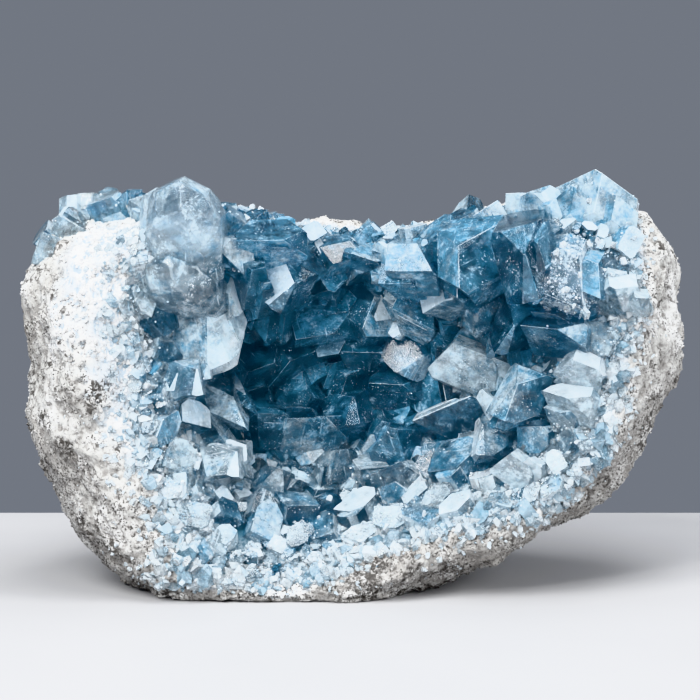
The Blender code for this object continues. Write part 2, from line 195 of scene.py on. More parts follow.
class Nodule:
    """The smooth nodule that the solids follow, read by tilt and turn in degrees."""

    CENTRE = Vector((-2 * MM, 0, 82 * MM))
    SIDE_TILT = 105.0
    BACK_DEPTH = 76 * MM
    BACK_FULLNESS = 2.5
    NORMAL_STEP = 1.5
    LARGEST_SHARE = 0.999

    def __init__(self) -> None:
        """Works out the knots of the outline and of the sections."""
        knots = []
        for x, z in OUTLINE:
            across, up = x * MM - self.CENTRE.x, z * MM - self.CENTRE.z
            knots.append((math.degrees(math.atan2(up, across)) % 360, math.hypot(across, up)))
        self.outline = sorted(knots)
        self.tilts = tuple(self.tilt_of(share) for share in SHARES)

    def tilt_of(self, share: float) -> float:
        """The tilt at a share of the way from the centre to the outline."""
        return math.degrees(math.asin(share)) * self.SIDE_TILT / 90

    def reach(self, turn: float) -> float:
        """How far the outline is from the centre at a turn."""
        return around(self.outline, turn)

    def edge(self, turn: float) -> float:
        """The tilt at which the crust of crystals ends."""
        return around(CRUST_EDGE, turn)

    def front_depth(self, tilt: float, turn: float) -> float:
        """How far back the open side lies, up to the outline."""
        knots = [(at, along(self.tilts, depths, tilt)) for at, depths in SECTIONS.items()]
        return around(knots, turn) * MM

    def point(self, tilt: float, turn: float) -> Vector:
        """Places a point of the smooth nodule.

        Args:
            tilt: Its tilt, from 0 to 180 in the middle of the back.
            turn: Its turn.

        Returns:
            The point.
        """
        if tilt <= self.SIDE_TILT:
            share = math.sin(math.radians(90 * tilt / self.SIDE_TILT))
            depth = self.front_depth(tilt, turn)
        else:
            side = self.front_depth(self.SIDE_TILT, turn)
            swing = math.radians(min(90.0, 90 * (tilt - self.SIDE_TILT) / (180 - self.SIDE_TILT)))
            share = max(0.0, math.cos(swing)) ** (2 / self.BACK_FULLNESS)
            depth = side + (self.BACK_DEPTH - side) * math.sin(swing) ** (2 / self.BACK_FULLNESS)
        reach = share * self.reach(turn)
        angle = math.radians(turn)
        across, up = reach * math.cos(angle), reach * math.sin(angle)
        return Vector((self.CENTRE.x + across, depth, self.CENTRE.z + up))

    def normal(self, tilt: float, turn: float) -> Vector:
        """Works out the way out of the rock.

        Args:
            tilt: The tilt of the point.
            turn: The turn of the point.

        Returns:
            The unit normal there.
        """
        step = self.NORMAL_STEP
        tilt = min(max(tilt, 2 * step), 180 - 2 * step)
        over = self.point(tilt + step, turn) - self.point(tilt - step, turn)
        round_it = self.point(tilt, turn + step) - self.point(tilt, turn - step)
        return round_it.cross(over).normalized()

    def tilt_at(self, x: float, z: float) -> tuple[float, float]:
        """Finds a point of the open side.

        Args:
            x: Its place across, in metres.
            z: Its height, in metres.

        Returns:
            Its tilt and turn.
        """
        across, up = x - self.CENTRE.x, z - self.CENTRE.z
        turn = math.degrees(math.atan2(up, across)) % 360
        share = min(self.LARGEST_SHARE, math.hypot(across, up) / self.reach(turn))
        return self.tilt_of(share), turn


# Modelling by hand


def deselect_all() -> None:
    """Leaves nothing selected, so that the next operator acts on its own object alone."""
    bpy.ops.object.select_all(action="DESELECT")


def activate(obj: bpy.types.Object) -> None:
    """Makes one object the selected and active one.

    Args:
        obj: The object.
    """
    deselect_all()
    obj.select_set(True)
    bpy.context.view_layer.objects.active = obj


def apply_all(obj: bpy.types.Object) -> None:
    """Applies an object's modifiers in order.

    Args:
        obj: The object.
    """
    activate(obj)
    for name in [modifier.name for modifier in obj.modifiers]:
        bpy.ops.object.modifier_apply(modifier=name)


def dress(obj: bpy.types.Object, material: bpy.types.Material) -> None:
    """Gives an object a material in place of those it has."""
    obj.data.materials.clear()
    obj.data.materials.append(material)


def store(mesh: bpy.types.Mesh, name: str, values: Sequence[float], domain: str = "FACE") -> None:
    """Stores one number for each face or point of a mesh, in an attribute of that name."""
    layer = mesh.attributes.get(name) or mesh.attributes.new(name, "FLOAT", domain)
    layer.data.foreach_set("value", np.asarray(values, dtype=np.float32))


def cut_cube(name: str, cuts: Sequence[Cut], chamfer: float = 0.0, steps: int = 1) -> bpy.types.Mesh:
    """Models a crystal: a cube of side 1, bisected by planes, with its edges chamfered or rounded.

    Args:
        name: The mesh's name.
        cuts: The planes, as (direction, distance from the middle). What lies beyond goes.
        chamfer: The width of the chamfer on every edge, or 0.
        steps: The strips that each edge gets: 1 for a chamfer, more for a round edge.

    Returns:
        The mesh, with the value 1 on chamfered and round edges in the face attribute that marks a
        painted edge highlight and worn edges. Its object is removed.
    """
    deselect_all()
    bpy.ops.mesh.primitive_cube_add(size=1.0)
    obj = bpy.context.object
    for _ in range(2):
        bpy.ops.object.material_slot_add()
    bpy.ops.object.mode_set(mode="EDIT")
    for direction, distance in cuts:
        bpy.ops.mesh.select_all(action="SELECT")
        place = [part * distance for part in direction]
        bpy.ops.mesh.bisect(plane_co=place, plane_no=direction, use_fill=True, clear_outer=True)
    bpy.ops.mesh.select_all(action="SELECT")
    if chamfer:
        bpy.ops.mesh.bevel(offset=chamfer, segments=steps, affect="EDGES", material=1, clamp_overlap=True)
        bpy.ops.mesh.select_all(action="SELECT")
        bpy.ops.mesh.remove_doubles(threshold=chamfer / CHAMFER_TO_MERGE)
    bpy.ops.mesh.normals_make_consistent(inside=False)
    bpy.ops.object.mode_set(mode="OBJECT")
    mesh = obj.data
    mesh.name = name
    bpy.data.objects.remove(obj)
    store(mesh, "edge_highlight_and_wear", [face.material_index for face in mesh.polygons])
    mesh.polygons.foreach_set("material_index", [0] * len(mesh.polygons))
    mesh.materials.clear()
    return mesh


def corner_cuts(rng: Random, count: int) -> tuple[Cut, ...]:
    """Draws cuts that take edges and corners off the upper half of a cube of side 1.

    Args:
        rng: The source of the random draws.
        count: How many cuts.

    Returns:
        The cuts, as (direction, distance from the middle).
    """
    cuts = []
    for _ in range(count):
        signs = [rng.choice((-1, 1)), rng.choice((-1, 1)), rng.choice((0, 1, 1))]
        lean = [sign + rng.uniform(-CUT_LEAN, CUT_LEAN) for sign in signs]
        direction = Vector(lean).normalized()
        support = sum(abs(part) for part in direction) / 2
        cuts.append((tuple(direction), support * rng.uniform(*CUT_DEPTHS)))
    return tuple(cuts)


def random_vector(rng: Random, reach: float) -> Vector:
    """A vector whose three parts are drawn between minus and plus a reach."""
    return Vector([rng.uniform(-reach, reach) for _ in range(3)])


def smoothstep(low: float, high: float, value: np.ndarray) -> np.ndarray:
    """A smooth step: 0 for values below low, 1 above high, and a smooth rise between."""
    share = np.clip((value - low) / (high - low), 0.0, 1.0)
    return share * share * (3 - 2 * share)


def join_union(bodies: Sequence[bpy.types.Object], name: str) -> bpy.types.Object:
    """Joins closed bodies in one by a union.

    Args:
        bodies: The bodies, not yet in any collection.
        name: The name of the joined piece.

    Returns:
        The joined piece, in the scene's own collection.
    """
    others = bpy.data.collections.new("bodies_to_join")
    bpy.context.scene.collection.children.link(others)
    for body in bodies[1:]:
        others.objects.link(body)
    piece = bodies[0]
    piece.name = name
    bpy.context.scene.collection.objects.link(piece)
    union = piece.modifiers.new("union", "BOOLEAN")
    union.operation = "UNION"
    union.operand_type = "COLLECTION"
    union.collection = others
    union.solver = "MANIFOLD"
    apply_all(piece)
    for body in list(others.objects):
        bpy.data.objects.remove(body)
    bpy.data.collections.remove(others)
    return piece


# Finishes


@dataclass(frozen=True)
class Noise:
    """A noise: how many features it has in a metre, its finer noises, and how strong those are."""

    scale: float
    detail: float
    rough: float


@dataclass(frozen=True)
class Patches(Noise):
    """A noise that shows in patches: weakest where it is below low, strongest where above high."""

    low: float
    high: float
    weakest: float = 0.0
    strongest: float = 1.0


@dataclass(frozen=True)
class Wander(Noise):
    """A noise that moves a value up and down, by half its reach at most."""

    reach: float


@dataclass(frozen=True)
class Relief(Noise):
    """A noise raised as a bump: the share of it that shows, and its height in metres."""

    strength: float
    height: float


class Graph:
    """The nodes of one material, with short ways to add those that the finishes share.

    MIX_SOCKETS has the numbers of a Mix node's two inputs and its output, by the kind of value.
    SHIFT_SHARES says how much of a shift of the patterns goes along each axis.
    """

    MIX_SOCKETS = {"FLOAT": (2, 3, 0), "RGBA": (6, 7, 2)}
    SHIFT_SHARES = (1.0, 1.7, 0.6)

    def __init__(self, name: str) -> None:
        """Makes the material with a Principled shader.

        Args:
            name: The name of the material.
        """
        self.material = bpy.data.materials.new(name)
        self.material.use_nodes = True
        self.tree = self.material.node_tree
        self.shader = self.tree.nodes["Principled BSDF"]
        self.place = self.add("ShaderNodeTexCoord").outputs["Object"]

    def add(self, kind: str, **settings: object) -> bpy.types.Node:
        """Adds a node.

        Args:
            kind: Its type.
            **settings: Its settings.

        Returns:
            The node.
        """
        node = self.tree.nodes.new(kind)
        for name, value in settings.items():
            setattr(node, name, value)
        return node

    def feed(self, socket: Socket, value: Value) -> None:
        """Links another node's output to a socket, or gives the socket a value.

        Args:
            socket: The socket.
            value: An output, a colour or a number.
        """
        if isinstance(value, Socket):
            self.tree.links.new(value, socket)
        elif isinstance(value, tuple) and len(value) == 3 and socket.type == "RGBA":
            socket.default_value = (*value, 1.0)
        else:
            socket.default_value = value

    def attribute(self, name: str) -> Socket:
        """The value of an attribute of the mesh."""
        return self.add("ShaderNodeAttribute", attribute_name=name).outputs["Fac"]

    def shift_place(self, name: str, reach: float) -> None:
        """Moves every pattern by an attribute, so that each crystal has its own.

        Args:
            name: The attribute.
            reach: How far a value of 1 moves the patterns, in metres.
        """
        node = self.add("ShaderNodeVectorMath", operation="MULTIPLY_ADD")
        self.feed(node.inputs[0], self.attribute(name))
        node.inputs[1].default_value = [reach * share for share in self.SHIFT_SHARES]
        self.feed(node.inputs[2], self.place)
        self.place = node.outputs["Vector"]

    def noise(self, look: Noise, place: Socket | None = None) -> Socket:
        """Adds a noise.

        Args:
            look: The noise.
            place: Where it is read, or None for the object's own place.

        Returns:
            Its value, between 0 and 1.
        """
        node = self.add("ShaderNodeTexNoise")
        self.feed(node.inputs["Vector"], place or self.place)
        node.inputs["Scale"].default_value = look.scale
        node.inputs["Detail"].default_value = look.detail
        node.inputs["Roughness"].default_value = look.rough
        return node.outputs["Fac"]

    def patches(self, look: Patches, more: Value = 0.0, place: Socket | None = None) -> Socket:
        """Adds a noise that shows in patches.

        Args:
            look: The patches.
            more: What is added to the noise.
            place: Where it is read, or None for the object's own place.

        Returns:
            Their value, from weakest to strongest.
        """
        value = self.noise(look, place)
        if more:
            value = self.total(value, more)
        return self.between(value, look.low, look.high, look.weakest, look.strongest)

    def wander(self, look: Wander) -> Socket:
        """A noise that moves a value up and down."""
        return self.around_zero(self.noise(look), look.reach)

    def cells(self, scale: float) -> Socket:
        """Adds a pattern of cells.

        Args:
            scale: How many cells it has in a metre.

        Returns:
            The distance from the middle of the nearest cell.
        """
        node = self.add("ShaderNodeTexVoronoi")
        self.feed(node.inputs["Vector"], self.place)
        node.inputs["Scale"].default_value = scale
        return node.outputs["Distance"]

    def stretched(self, scale: tuple[float, float, float], place: Socket) -> Socket:
        """Draws a place out along its axes.

        Args:
            scale: The factor on each axis.
            place: The place.

        Returns:
            The new place.
        """
        node = self.add("ShaderNodeMapping")
        self.feed(node.inputs["Vector"], place)
        node.inputs["Scale"].default_value = scale
        return node.outputs["Vector"]

    def between(
        self, value: Value, low: float, high: float, out_low: float = 0.0, out_high: float = 1.0
    ) -> Socket:
        """Carries a value's range to another range, and keeps it within that.

        Args:
            value: The value.
            low: Where the range starts.
            high: Where the range ends.
            out_low: What the start becomes.
            out_high: What the end becomes.

        Returns:
            The carried value.
        """
        node = self.add("ShaderNodeMapRange", interpolation_type="SMOOTHSTEP")
        self.feed(node.inputs["Value"], value)
        names = "From Min", "From Max", "To Min", "To Max"
        for name, limit in zip(names, (low, high, out_low, out_high)):
            self.feed(node.inputs[name], limit)
        return node.outputs["Result"]

    def combine(self, operation: str, *values: Value) -> Socket:
        """Joins values two by two, in their order.

        Args:
            operation: How, such as ADD.
            *values: The values.

        Returns:
            The result.
        """
        result = values[0]
        for value in values[1:]:
            node = self.add("ShaderNodeMath", operation=operation)
            self.feed(node.inputs[0], result)
            self.feed(node.inputs[1], value)
            result = node.outputs[0]
        return result

    def total(self, *values: Value) -> Socket:
        """Several values added."""
        return self.combine("ADD", *values)

    def product(self, *values: Value) -> Socket:
        """Several values multiplied."""
        return self.combine("MULTIPLY", *values)

    def largest(self, *values: Value) -> Socket:
        """The largest of several values."""
        return self.combine("MAXIMUM", *values)

    def around_zero(self, value: Value, reach: float) -> Socket:
        """A value between 0 and 1 carried to plus or minus half a reach."""
        return self.product(self.combine("SUBTRACT", value, 0.5), reach)

    def mix(self, share: Value, first: Value, second: Value, kind: str = "RGBA") -> Socket:
        """Mixes two colours or two numbers.

        Args:
            share: The share of the second.
            first: The first of them.
            second: The second of them.
            kind: RGBA for colours, FLOAT for numbers.

        Returns:
            The mixed colour or number.
        """
        first_at, second_at, result_at = self.MIX_SOCKETS[kind]
        node = self.add("ShaderNodeMix", data_type=kind)
        self.feed(node.inputs["Factor"], share)
        self.feed(node.inputs[first_at], first)
        self.feed(node.inputs[second_at], second)
        return node.outputs[result_at]

    def bump(self, height: Value, strength: float, distance: float, normal: Socket | None = None) -> Socket:
        """Adds a normal that follows a height.

        Args:
            height: The height, from 0 to 1.
            strength: The share of it that shows.
            distance: What a height of 1 stands for, in metres.
            normal: An earlier bump below it, or None.

        Returns:
            The normal.
        """
        node = self.add("ShaderNodeBump")
        self.feed(node.inputs["Height"], height)
        node.inputs["Strength"].default_value = strength
        node.inputs["Distance"].default_value = distance
        if normal is not None:
            self.feed(node.inputs["Normal"], normal)
        return node.outputs["Normal"]

    def raised(self, look: Relief, normal: Socket | None = None, place: Socket | None = None) -> Socket:
        """A noise raised as a bump, over an earlier bump if there is one."""
        return self.bump(self.noise(look, place), look.strength, look.height, normal)

    def shade(self, **values: Value) -> None:
        """Sets inputs of the shader, their names with _ for each space."""
        for name, value in values.items():
            self.feed(self.shader.inputs[name.replace("_", " ")], value)

    def absorb(self, colour: Colour, density: float) -> None:
        """Fills the body with an absorbing colour.

        Args:
            colour: The colour.
            density: How strongly it absorbs, for each metre.
        """
        node = self.add("ShaderNodeVolumeAbsorption")
        node.inputs["Color"].default_value = (*colour, 1.0)
        node.inputs["Density"].default_value = density
        self.tree.links.new(node.outputs["Volume"], self.tree.nodes["Material Output"].inputs["Volume"])


@dataclass(frozen=True)
class RockFinish:
    """Pale rock: sugary white beside the crystals, speckled and stained outside, blue in the hollow.

    Painted shade darkens the underside, the pits and the rock in the hollow, and makes part of the
    blue-grey in the white beside the crystals. The skin and its grains share it, so a grain has the
    colour of the rock around it, a little lighter or darker by its tint. A range is (from, to), or
    (from, to, what those become).
    """

    name: str = "pale_rock_skin"
    grainy: bool = False
    white: Colour = (0.95, 0.955, 0.96)
    ice_and_shade: Colour = (0.46, 0.58, 0.69)
    beige: Colour = (0.52, 0.52, 0.505)
    pale: Colour = (0.815, 0.82, 0.82)
    stain: Colour = (0.33, 0.31, 0.285)
    grime_and_shade: Colour = (0.20, 0.19, 0.18)
    speck: Colour = (0.05, 0.046, 0.042)
    # Painted shade: the dark blue of the rock deep in the hollow, between the crystals, partly its own
    # blue.
    hollow: Colour = (0.05, 0.14, 0.20)
    border: Wander = Wander(42, 5, 0.68, 1.3)
    border_range: Range = (0.26, 0.72)
    pale_areas: Patches = Patches(60, 6, 0.7, 0.42, 0.66)
    stains: Patches = Patches(26, 5, 0.7, 0.52, 0.64, 0.0, 0.65)
    dirt: Patches = Patches(300, 5, 0.75, 0.50, 0.62, 0.0, 0.8)
    pit_dirt_and_shade: Range = (0.2, 0.9, 0.0, 0.6)
    icy_and_shaded_areas: Patches = Patches(95, 3, 0.5, 0.46, 0.64, 0.0, 0.36)
    icy_and_shaded_spots: Patches = Patches(160, 6, 0.70, 0.55, 0.66, 0.0, 0.5)
    pit_shade: Range = (0.2, 0.8, 0.0, 0.8)
    shadow_areas: Patches = Patches(90, 5, 0.7, 0.35, 0.60, 0.50, 1.0)
    shadow_grain: Patches = Patches(420, 5, 0.7, 0.38, 0.60, 0.40, 1.0)
    shadow_near: Range = (0.2, 0.9, 1.0, 0.3)
    speck_sizes: tuple[tuple[Patches, Patches], ...] = (
        (Patches(1200, 2, 0.5, 0.55, 0.60), Patches(120, 4, 0.65, 0.46, 0.58)),
        (Patches(650, 3, 0.6, 0.57, 0.61), Patches(55, 4, 0.5, 0.51, 0.60)),
        (Patches(500, 4, 0.7, 0.46, 0.52), Patches(75, 3, 0.6, 0.58, 0.64)),
    )
    specks_below: float = 0.06
    whiteness_below: float = 0.7
    speck_near: Range = (0.35, 1.0, 1.0, 0.06)
    dark_grains: Range = (0.06, 0.5, 0.55, 0.0)
    white_grains: Range = (0.6, 1.0, 0.0, 0.5)
    fine_dirt: Patches = Patches(900, 4, 0.65, 0.35, 0.60, 0.30, 0.0)
    dullness: Patches = Patches(1400, 1, 0.5, 0.35, 0.65, 0.40, 0.95)
    roughness: Relief = Relief(950, 5, 0.75, 0.8, 0.6 * MM)
    cell_scale: float = 420
    cell_relief: tuple[float, float] = (0.35, 0.4 * MM)
    shine: float = 0.4

    def outside(self, g: Graph, pit: Value) -> Socket:
        """Works out the colour away from the crystals, before its specks.

        Args:
            g: The graph of the material.
            pit: How deep in a pit the place is.

        Returns:
            The colour.
        """
        colour = g.mix(g.patches(self.pale_areas), self.beige, self.pale)
        colour = g.mix(g.patches(self.stains), colour, self.stain)
        colour = g.mix(g.patches(self.dirt), colour, self.grime_and_shade)
        # Painted shade, with some dirt: the pits are darker.
        return g.mix(g.between(pit, *self.pit_dirt_and_shade), colour, self.grime_and_shade)

    def inside(self, g: Graph, pit: Value) -> Socket:
        """Works out the colour beside the crystals.

        Args:
            g: The graph of the material.
            pit: How deep in a pit the place is.

        Returns:
            The colour.
        """
        # Painted shade, partly the blue of the grains: blue-grey patches in the white.
        colour = g.mix(g.patches(self.icy_and_shaded_areas), self.white, self.ice_and_shade)
        colour = g.mix(g.patches(self.icy_and_shaded_spots), colour, self.ice_and_shade)
        # Painted shade: the pits are blue-grey.
        return g.mix(g.between(pit, *self.pit_shade), colour, self.ice_and_shade)

    def shadow(self, g: Graph, near: Value, low: Value) -> Socket:
        """How much painted shade, with some dirt, darkens the underside and low parts, in patches with fine
        grain in them.
        """
        areas = g.product(g.patches(self.shadow_areas), g.patches(self.shadow_grain))
        return g.product(low, areas, g.between(near, *self.shadow_near))

    def specks(self, g: Graph, near: Value, low: Value) -> Socket:
        """Scatters dark specks of three sizes, in clusters, fewer near the crystals and more below.

        Args:
            g: The graph of the material.
            near: How near the crystals are.
            low: How low the place is on the rock.

        Returns:
            1 in a speck and 0 outside.
        """
        more = g.product(low, self.specks_below)
        found = 0.0
        for grains, clusters in self.speck_sizes:
            found = g.largest(found, g.product(g.patches(grains), g.patches(clusters, more)))
        white = g.combine("SUBTRACT", near, g.product(low, self.whiteness_below))
        return g.product(found, g.between(white, *self.speck_near))

    def grain(self, g: Graph, colour: Value) -> Socket:
        """Makes a grain lighter or darker than the rock, and dark on a few.

        Args:
            g: The graph of the material.
            colour: The colour of the rock.

        Returns:
            The colour of the grain.
        """
        tint = g.attribute("tint")
        colour = g.mix(g.between(tint, *self.dark_grains), colour, self.grime_and_shade)
        return g.mix(g.between(tint, *self.white_grains), colour, self.white)

    def make(self) -> bpy.types.Material:
        """Builds the material.

        Returns:
            The material.
        """
        g = Graph(self.name)
        near, deep, pit, low = (g.attribute(name) for name in ("near", "deep", "pit", "low"))
        share = g.between(g.total(near, g.wander(self.border)), *self.border_range)
        colour = g.mix(share, self.outside(g, pit), self.inside(g, pit))
        if self.grainy:
            colour = self.grain(g, colour)
        # Painted shade, with some dirt: the underside and the low parts are darker.
        colour = g.mix(self.shadow(g, near, low), colour, self.grime_and_shade)
        colour = g.mix(self.specks(g, near, low), colour, self.speck)
        colour = g.mix(g.patches(self.fine_dirt), colour, self.grime_and_shade)
        # Painted shade: the rock in the hollow is dark blue, partly its own blue and partly shade between
        # crystals.
        colour = g.mix(deep, colour, self.hollow)
        normal = g.bump(g.cells(self.cell_scale), *self.cell_relief, g.raised(self.roughness))
        g.shade(Base_Color=colour, Normal=normal)
        g.shade(Roughness=g.patches(self.dullness), Specular_IOR_Level=self.shine)
        return g.material


@dataclass(frozen=True)
class CelestiteFinish:
    """Celestite: clear blue that darkens with depth, with veils, streaks, flecks and frost.

    Each face has a tint from pale to deep blue, a haze, a frost, a shift that moves the patterns,
    a painted sheen of its own that sets it off from its neighbours, paler and hazier, most on faces
    that look up, and a painted edge highlight on the chamfers, partly worn edges. The faces with the
    most sheen are pale and matt, partly painted sheen. Painted glints dot the faces. A range is as
    for the rock.
    """

    name: str = "celestite_crystal"
    ior: float = 1.62
    absorbed: Colour = (0.12, 0.50, 0.78)
    density: float = 9.0
    white: Colour = (0.82, 0.88, 0.92)
    pale: Colour = (0.58, 0.72, 0.80)
    blue: Colour = (0.12, 0.355, 0.54)
    deep: Colour = (0.065, 0.235, 0.365)
    frosted: Colour = (0.84, 0.89, 0.93)
    shaded: Colour = (0.52, 0.65, 0.75)
    veil: Colour = (0.66, 0.78, 0.86)
    satin: Colour = (0.62, 0.69, 0.74)
    clearest: float = 0.97
    haziest: float = 0.12
    shift_reach: float = 3.0
    # Painted sheen: how much a face's sheen pales its tint, clouds it and adds frost.
    painted_gleam_tint: float = 0.42
    painted_gleam_haze: float = 0.46
    painted_gleam_frost: float = 0.5
    soft_tint: Wander = Wander(110, 4, 0.65, 1.2)
    fine_tint: Wander = Wander(420, 6, 0.78, 1.1)
    white_to_pale: Range = (-0.35, 0.10)
    pale_to_blue: Range = (0.10, 0.55)
    blue_to_deep: Range = (0.50, 1.0)
    veils: Patches = Patches(150, 6, 0.78, 0.50, 0.74, 0.0, 0.65)
    streak_stretch: tuple[float, float, float] = (700, 70, 1)
    streaks: Patches = Patches(1.0, 4, 0.6, 0.56, 0.72, 0.0, 0.6)
    streak_areas: Patches = Patches(60, 2, 0.5, 0.42, 0.60)
    flecks: Patches = Patches(1100, 4, 0.7, 0.57, 0.64)
    fleck_areas: Patches = Patches(120, 3, 0.6, 0.46, 0.64, 0.08, 0.8)
    painted_glints: Patches = Patches(1250, 3, 0.6, 0.62, 0.66)
    painted_glint_areas: Patches = Patches(85, 3, 0.6, 0.52, 0.62)
    frost_areas: Wander = Wander(75, 4, 0.65, 1.8)
    frost_range: Range = (0.30, 0.90)
    frost_start: Range = (0.02, 0.25)
    frost_grain: Patches = Patches(700, 5, 0.75, 0.38, 0.60, 0.25, 1.0)
    frost_shade: Patches = Patches(330, 5, 0.7, 0.42, 0.62, 0.0, 0.65)
    highlighted_and_worn_areas: Patches = Patches(160, 2, 0.5, 0.40, 0.58)
    satin_gleam: Range = (0.86, 0.88)
    satin_bare: Range = (0.2, 0.5, 1.0, 0.0)
    satin_areas: Patches = Patches(90, 4, 0.65, 0.35, 0.60, 0.45, 1.0)
    flaw_colour: float = 0.8
    satin_and_sheen_colour: float = 0.7
    edge_highlight_and_wear_colour: float = 0.4
    haze_cloud: float = 0.8
    flaw_cloud: float = 0.75
    satin_cloud: float = 0.25
    edge_highlight_and_wear_cloud: float = 0.4
    fine_cloud: Wander = Wander(500, 5, 0.75, 0.5)
    soft_cloud: Wander = Wander(130, 4, 0.65, 1.2)
    dullness: Patches = Patches(240, 4, 0.65, 0.42, 0.70, 0.03, 0.20)
    satin_dullness: float = 0.16
    frost_dullness: float = 0.50
    line_stretch: tuple[float, float, float] = (1500, 160, 1)
    growth_lines: Relief = Relief(1.0, 3, 0.6, 0.30, 0.25 * MM)
    unevenness: Relief = Relief(420, 6, 0.75, 0.36, 0.4 * MM)
    frost_relief: Relief = Relief(1300, 3, 0.7, 0.8, 0.6 * MM)

    def body(self, g: Graph, tint: Value, painted_gleam: Value) -> Socket:
        """Works out the blue of the body, which changes softly inside a crystal and by face.

        Args:
            g: The graph of the material.
            tint: The tint of the face.
            painted_gleam: The gleam of the face.

        Returns:
            The colour.
        """
        # Painted sheen: a face with more of it is paler.
        by_face = g.around_zero(painted_gleam, -self.painted_gleam_tint)
        wander = g.total(g.wander(self.soft_tint), g.wander(self.fine_tint), tint, by_face)
        colour = g.mix(g.between(wander, *self.white_to_pale), self.white, self.pale)
        colour = g.mix(g.between(wander, *self.pale_to_blue), colour, self.blue)
        return g.mix(g.between(wander, *self.blue_to_deep), colour, self.deep)

    def flaws(self, g: Graph, growth: Socket) -> Socket:
        """Adds veils, streaks along the growth, and flecks.

        Args:
            g: The graph of the material.
            growth: The place in the growth map.

        Returns:
            How strong the flaws are, from 0 to 1.
        """
        streaks = g.patches(self.streaks, place=g.stretched(self.streak_stretch, growth))
        streaks = g.product(streaks, g.patches(self.streak_areas))
        flecks = g.product(g.patches(self.flecks), g.patches(self.fleck_areas))
        return g.largest(g.patches(self.veils), streaks, flecks)

    def sugar(self, g: Graph, frost: Value, painted_gleam: Value) -> Socket:
        """Covers faces with white sugar: whole on some, in patches on others, and grainy.

        Args:
            g: The graph of the material.
            frost: The frost of the face.
            painted_gleam: The gleam of the face.

        Returns:
            How strong the sugar is, from 0 to 1.
        """
        reach = g.total(frost, g.wander(self.frost_areas), g.around_zero(painted_gleam, self.painted_gleam_frost))
        covered = g.product(g.between(reach, *self.frost_range), g.between(frost, *self.frost_start))
        return g.product(covered, g.patches(self.frost_grain))

    def satin_share(self, g: Graph, frost: Value, painted_gleam: Value) -> Socket:
        """How matt and pale a face is, partly a painted sheen: those with the most sheen and little frost
        are, in patches.
        """
        chosen = g.between(painted_gleam, *self.satin_gleam)
        return g.product(chosen, g.between(frost, *self.satin_bare), g.patches(self.satin_areas))

    def relief(self, g: Graph, growth: Socket, sugar: Value) -> Socket:
        """Raises growth lines, uneven faces, and grains where there is frost.

        Args:
            g: The graph of the material.
            growth: The place in the growth map.
            sugar: How strong the white sugar is.

        Returns:
            The normal.
        """
        lines = g.raised(self.growth_lines, place=g.stretched(self.line_stretch, growth))
        normal = g.raised(self.unevenness, lines)
        look = self.frost_relief
        return g.bump(g.product(sugar, g.noise(look)), look.strength, look.height, normal)

    def make(self) -> bpy.types.Material:
        """Builds the material.

        Returns:
            The material.
        """
        g = Graph(self.name)
        g.shift_place("shift", self.shift_reach)
        names = "tint", "haze", "frost", "edge_highlight_and_wear", "painted_gleam"
        tint, haze, frost, edge_highlight_and_wear, painted_gleam = (g.attribute(name) for name in names)
        growth = g.add("ShaderNodeUVMap", uv_map="growth").outputs["UV"]
        flaws = self.flaws(g, growth)
        sugar = self.sugar(g, frost, painted_gleam)
        satin = self.satin_share(g, frost, painted_gleam)
        # Painted glints: tiny pale spots on the faces.
        painted_glints = g.product(g.patches(self.painted_glints), g.patches(self.painted_glint_areas))
        edge_highlight_and_wear = g.product(edge_highlight_and_wear, g.patches(self.highlighted_and_worn_areas))
        colour = g.mix(g.product(flaws, self.flaw_colour), self.body(g, tint, painted_gleam), self.veil)
        # Painted sheen and a matt finish: the chosen faces, which look up, are pale.
        colour = g.mix(g.product(satin, self.satin_and_sheen_colour), colour, self.satin)
        # Painted edge highlight, partly worn edges: the chamfers are paler.
        colour = g.mix(g.product(edge_highlight_and_wear, self.edge_highlight_and_wear_colour), colour, self.veil)
        colour = g.mix(painted_glints, colour, self.veil)
        colour = g.mix(sugar, colour, g.mix(g.patches(self.frost_shade), self.frosted, self.shaded))
        cloud = g.total(
            g.product(haze, self.haze_cloud), g.product(flaws, self.flaw_cloud),
            g.around_zero(painted_gleam, self.painted_gleam_haze), g.wander(self.fine_cloud), g.wander(self.soft_cloud),
            g.product(satin, self.satin_cloud),
        )
        cloud = g.largest(sugar, cloud, g.product(edge_highlight_and_wear, self.edge_highlight_and_wear_cloud), painted_glints)
        dull = g.total(g.patches(self.dullness), g.product(satin, self.satin_dullness))
        g.shade(Base_Color=colour, Normal=self.relief(g, growth, sugar), IOR=self.ior)
        g.shade(Roughness=g.mix(sugar, dull, self.frost_dullness, "FLOAT"))
        g.shade(Transmission_Weight=g.between(cloud, 0.0, 1.0, self.clearest, self.haziest))
        g.absorb(self.absorbed, self.density)
        return g.material


@dataclass(frozen=True)
class DustFinish:
    """White dust, some of it blue."""

    name: str = "facet_dust"
    white: Colour = (0.86, 0.90, 0.93)
    blue: Colour = (0.50, 0.64, 0.74)
    blue_areas: Patches = Patches(1500, 2, 0.5, 0.35, 0.65, 0.0, 0.4)
    dullness: Patches = Patches(900, 2, 0.5, 0.3, 0.7, 0.2, 0.5)
    relief: Relief = Relief(2500, 2, 0.5, 0.4, 0.15 * MM)

    def make(self) -> bpy.types.Material:
        """Builds the material.

        Returns:
            The material.
        """
        g = Graph(self.name)
        colour = g.mix(g.attribute("tint"), self.blue, self.white)
        colour = g.mix(g.patches(self.blue_areas), colour, self.blue)
        g.shade(Base_Color=colour, Roughness=g.patches(self.dullness), Normal=g.raised(self.relief))
        return g.material


# Crystals


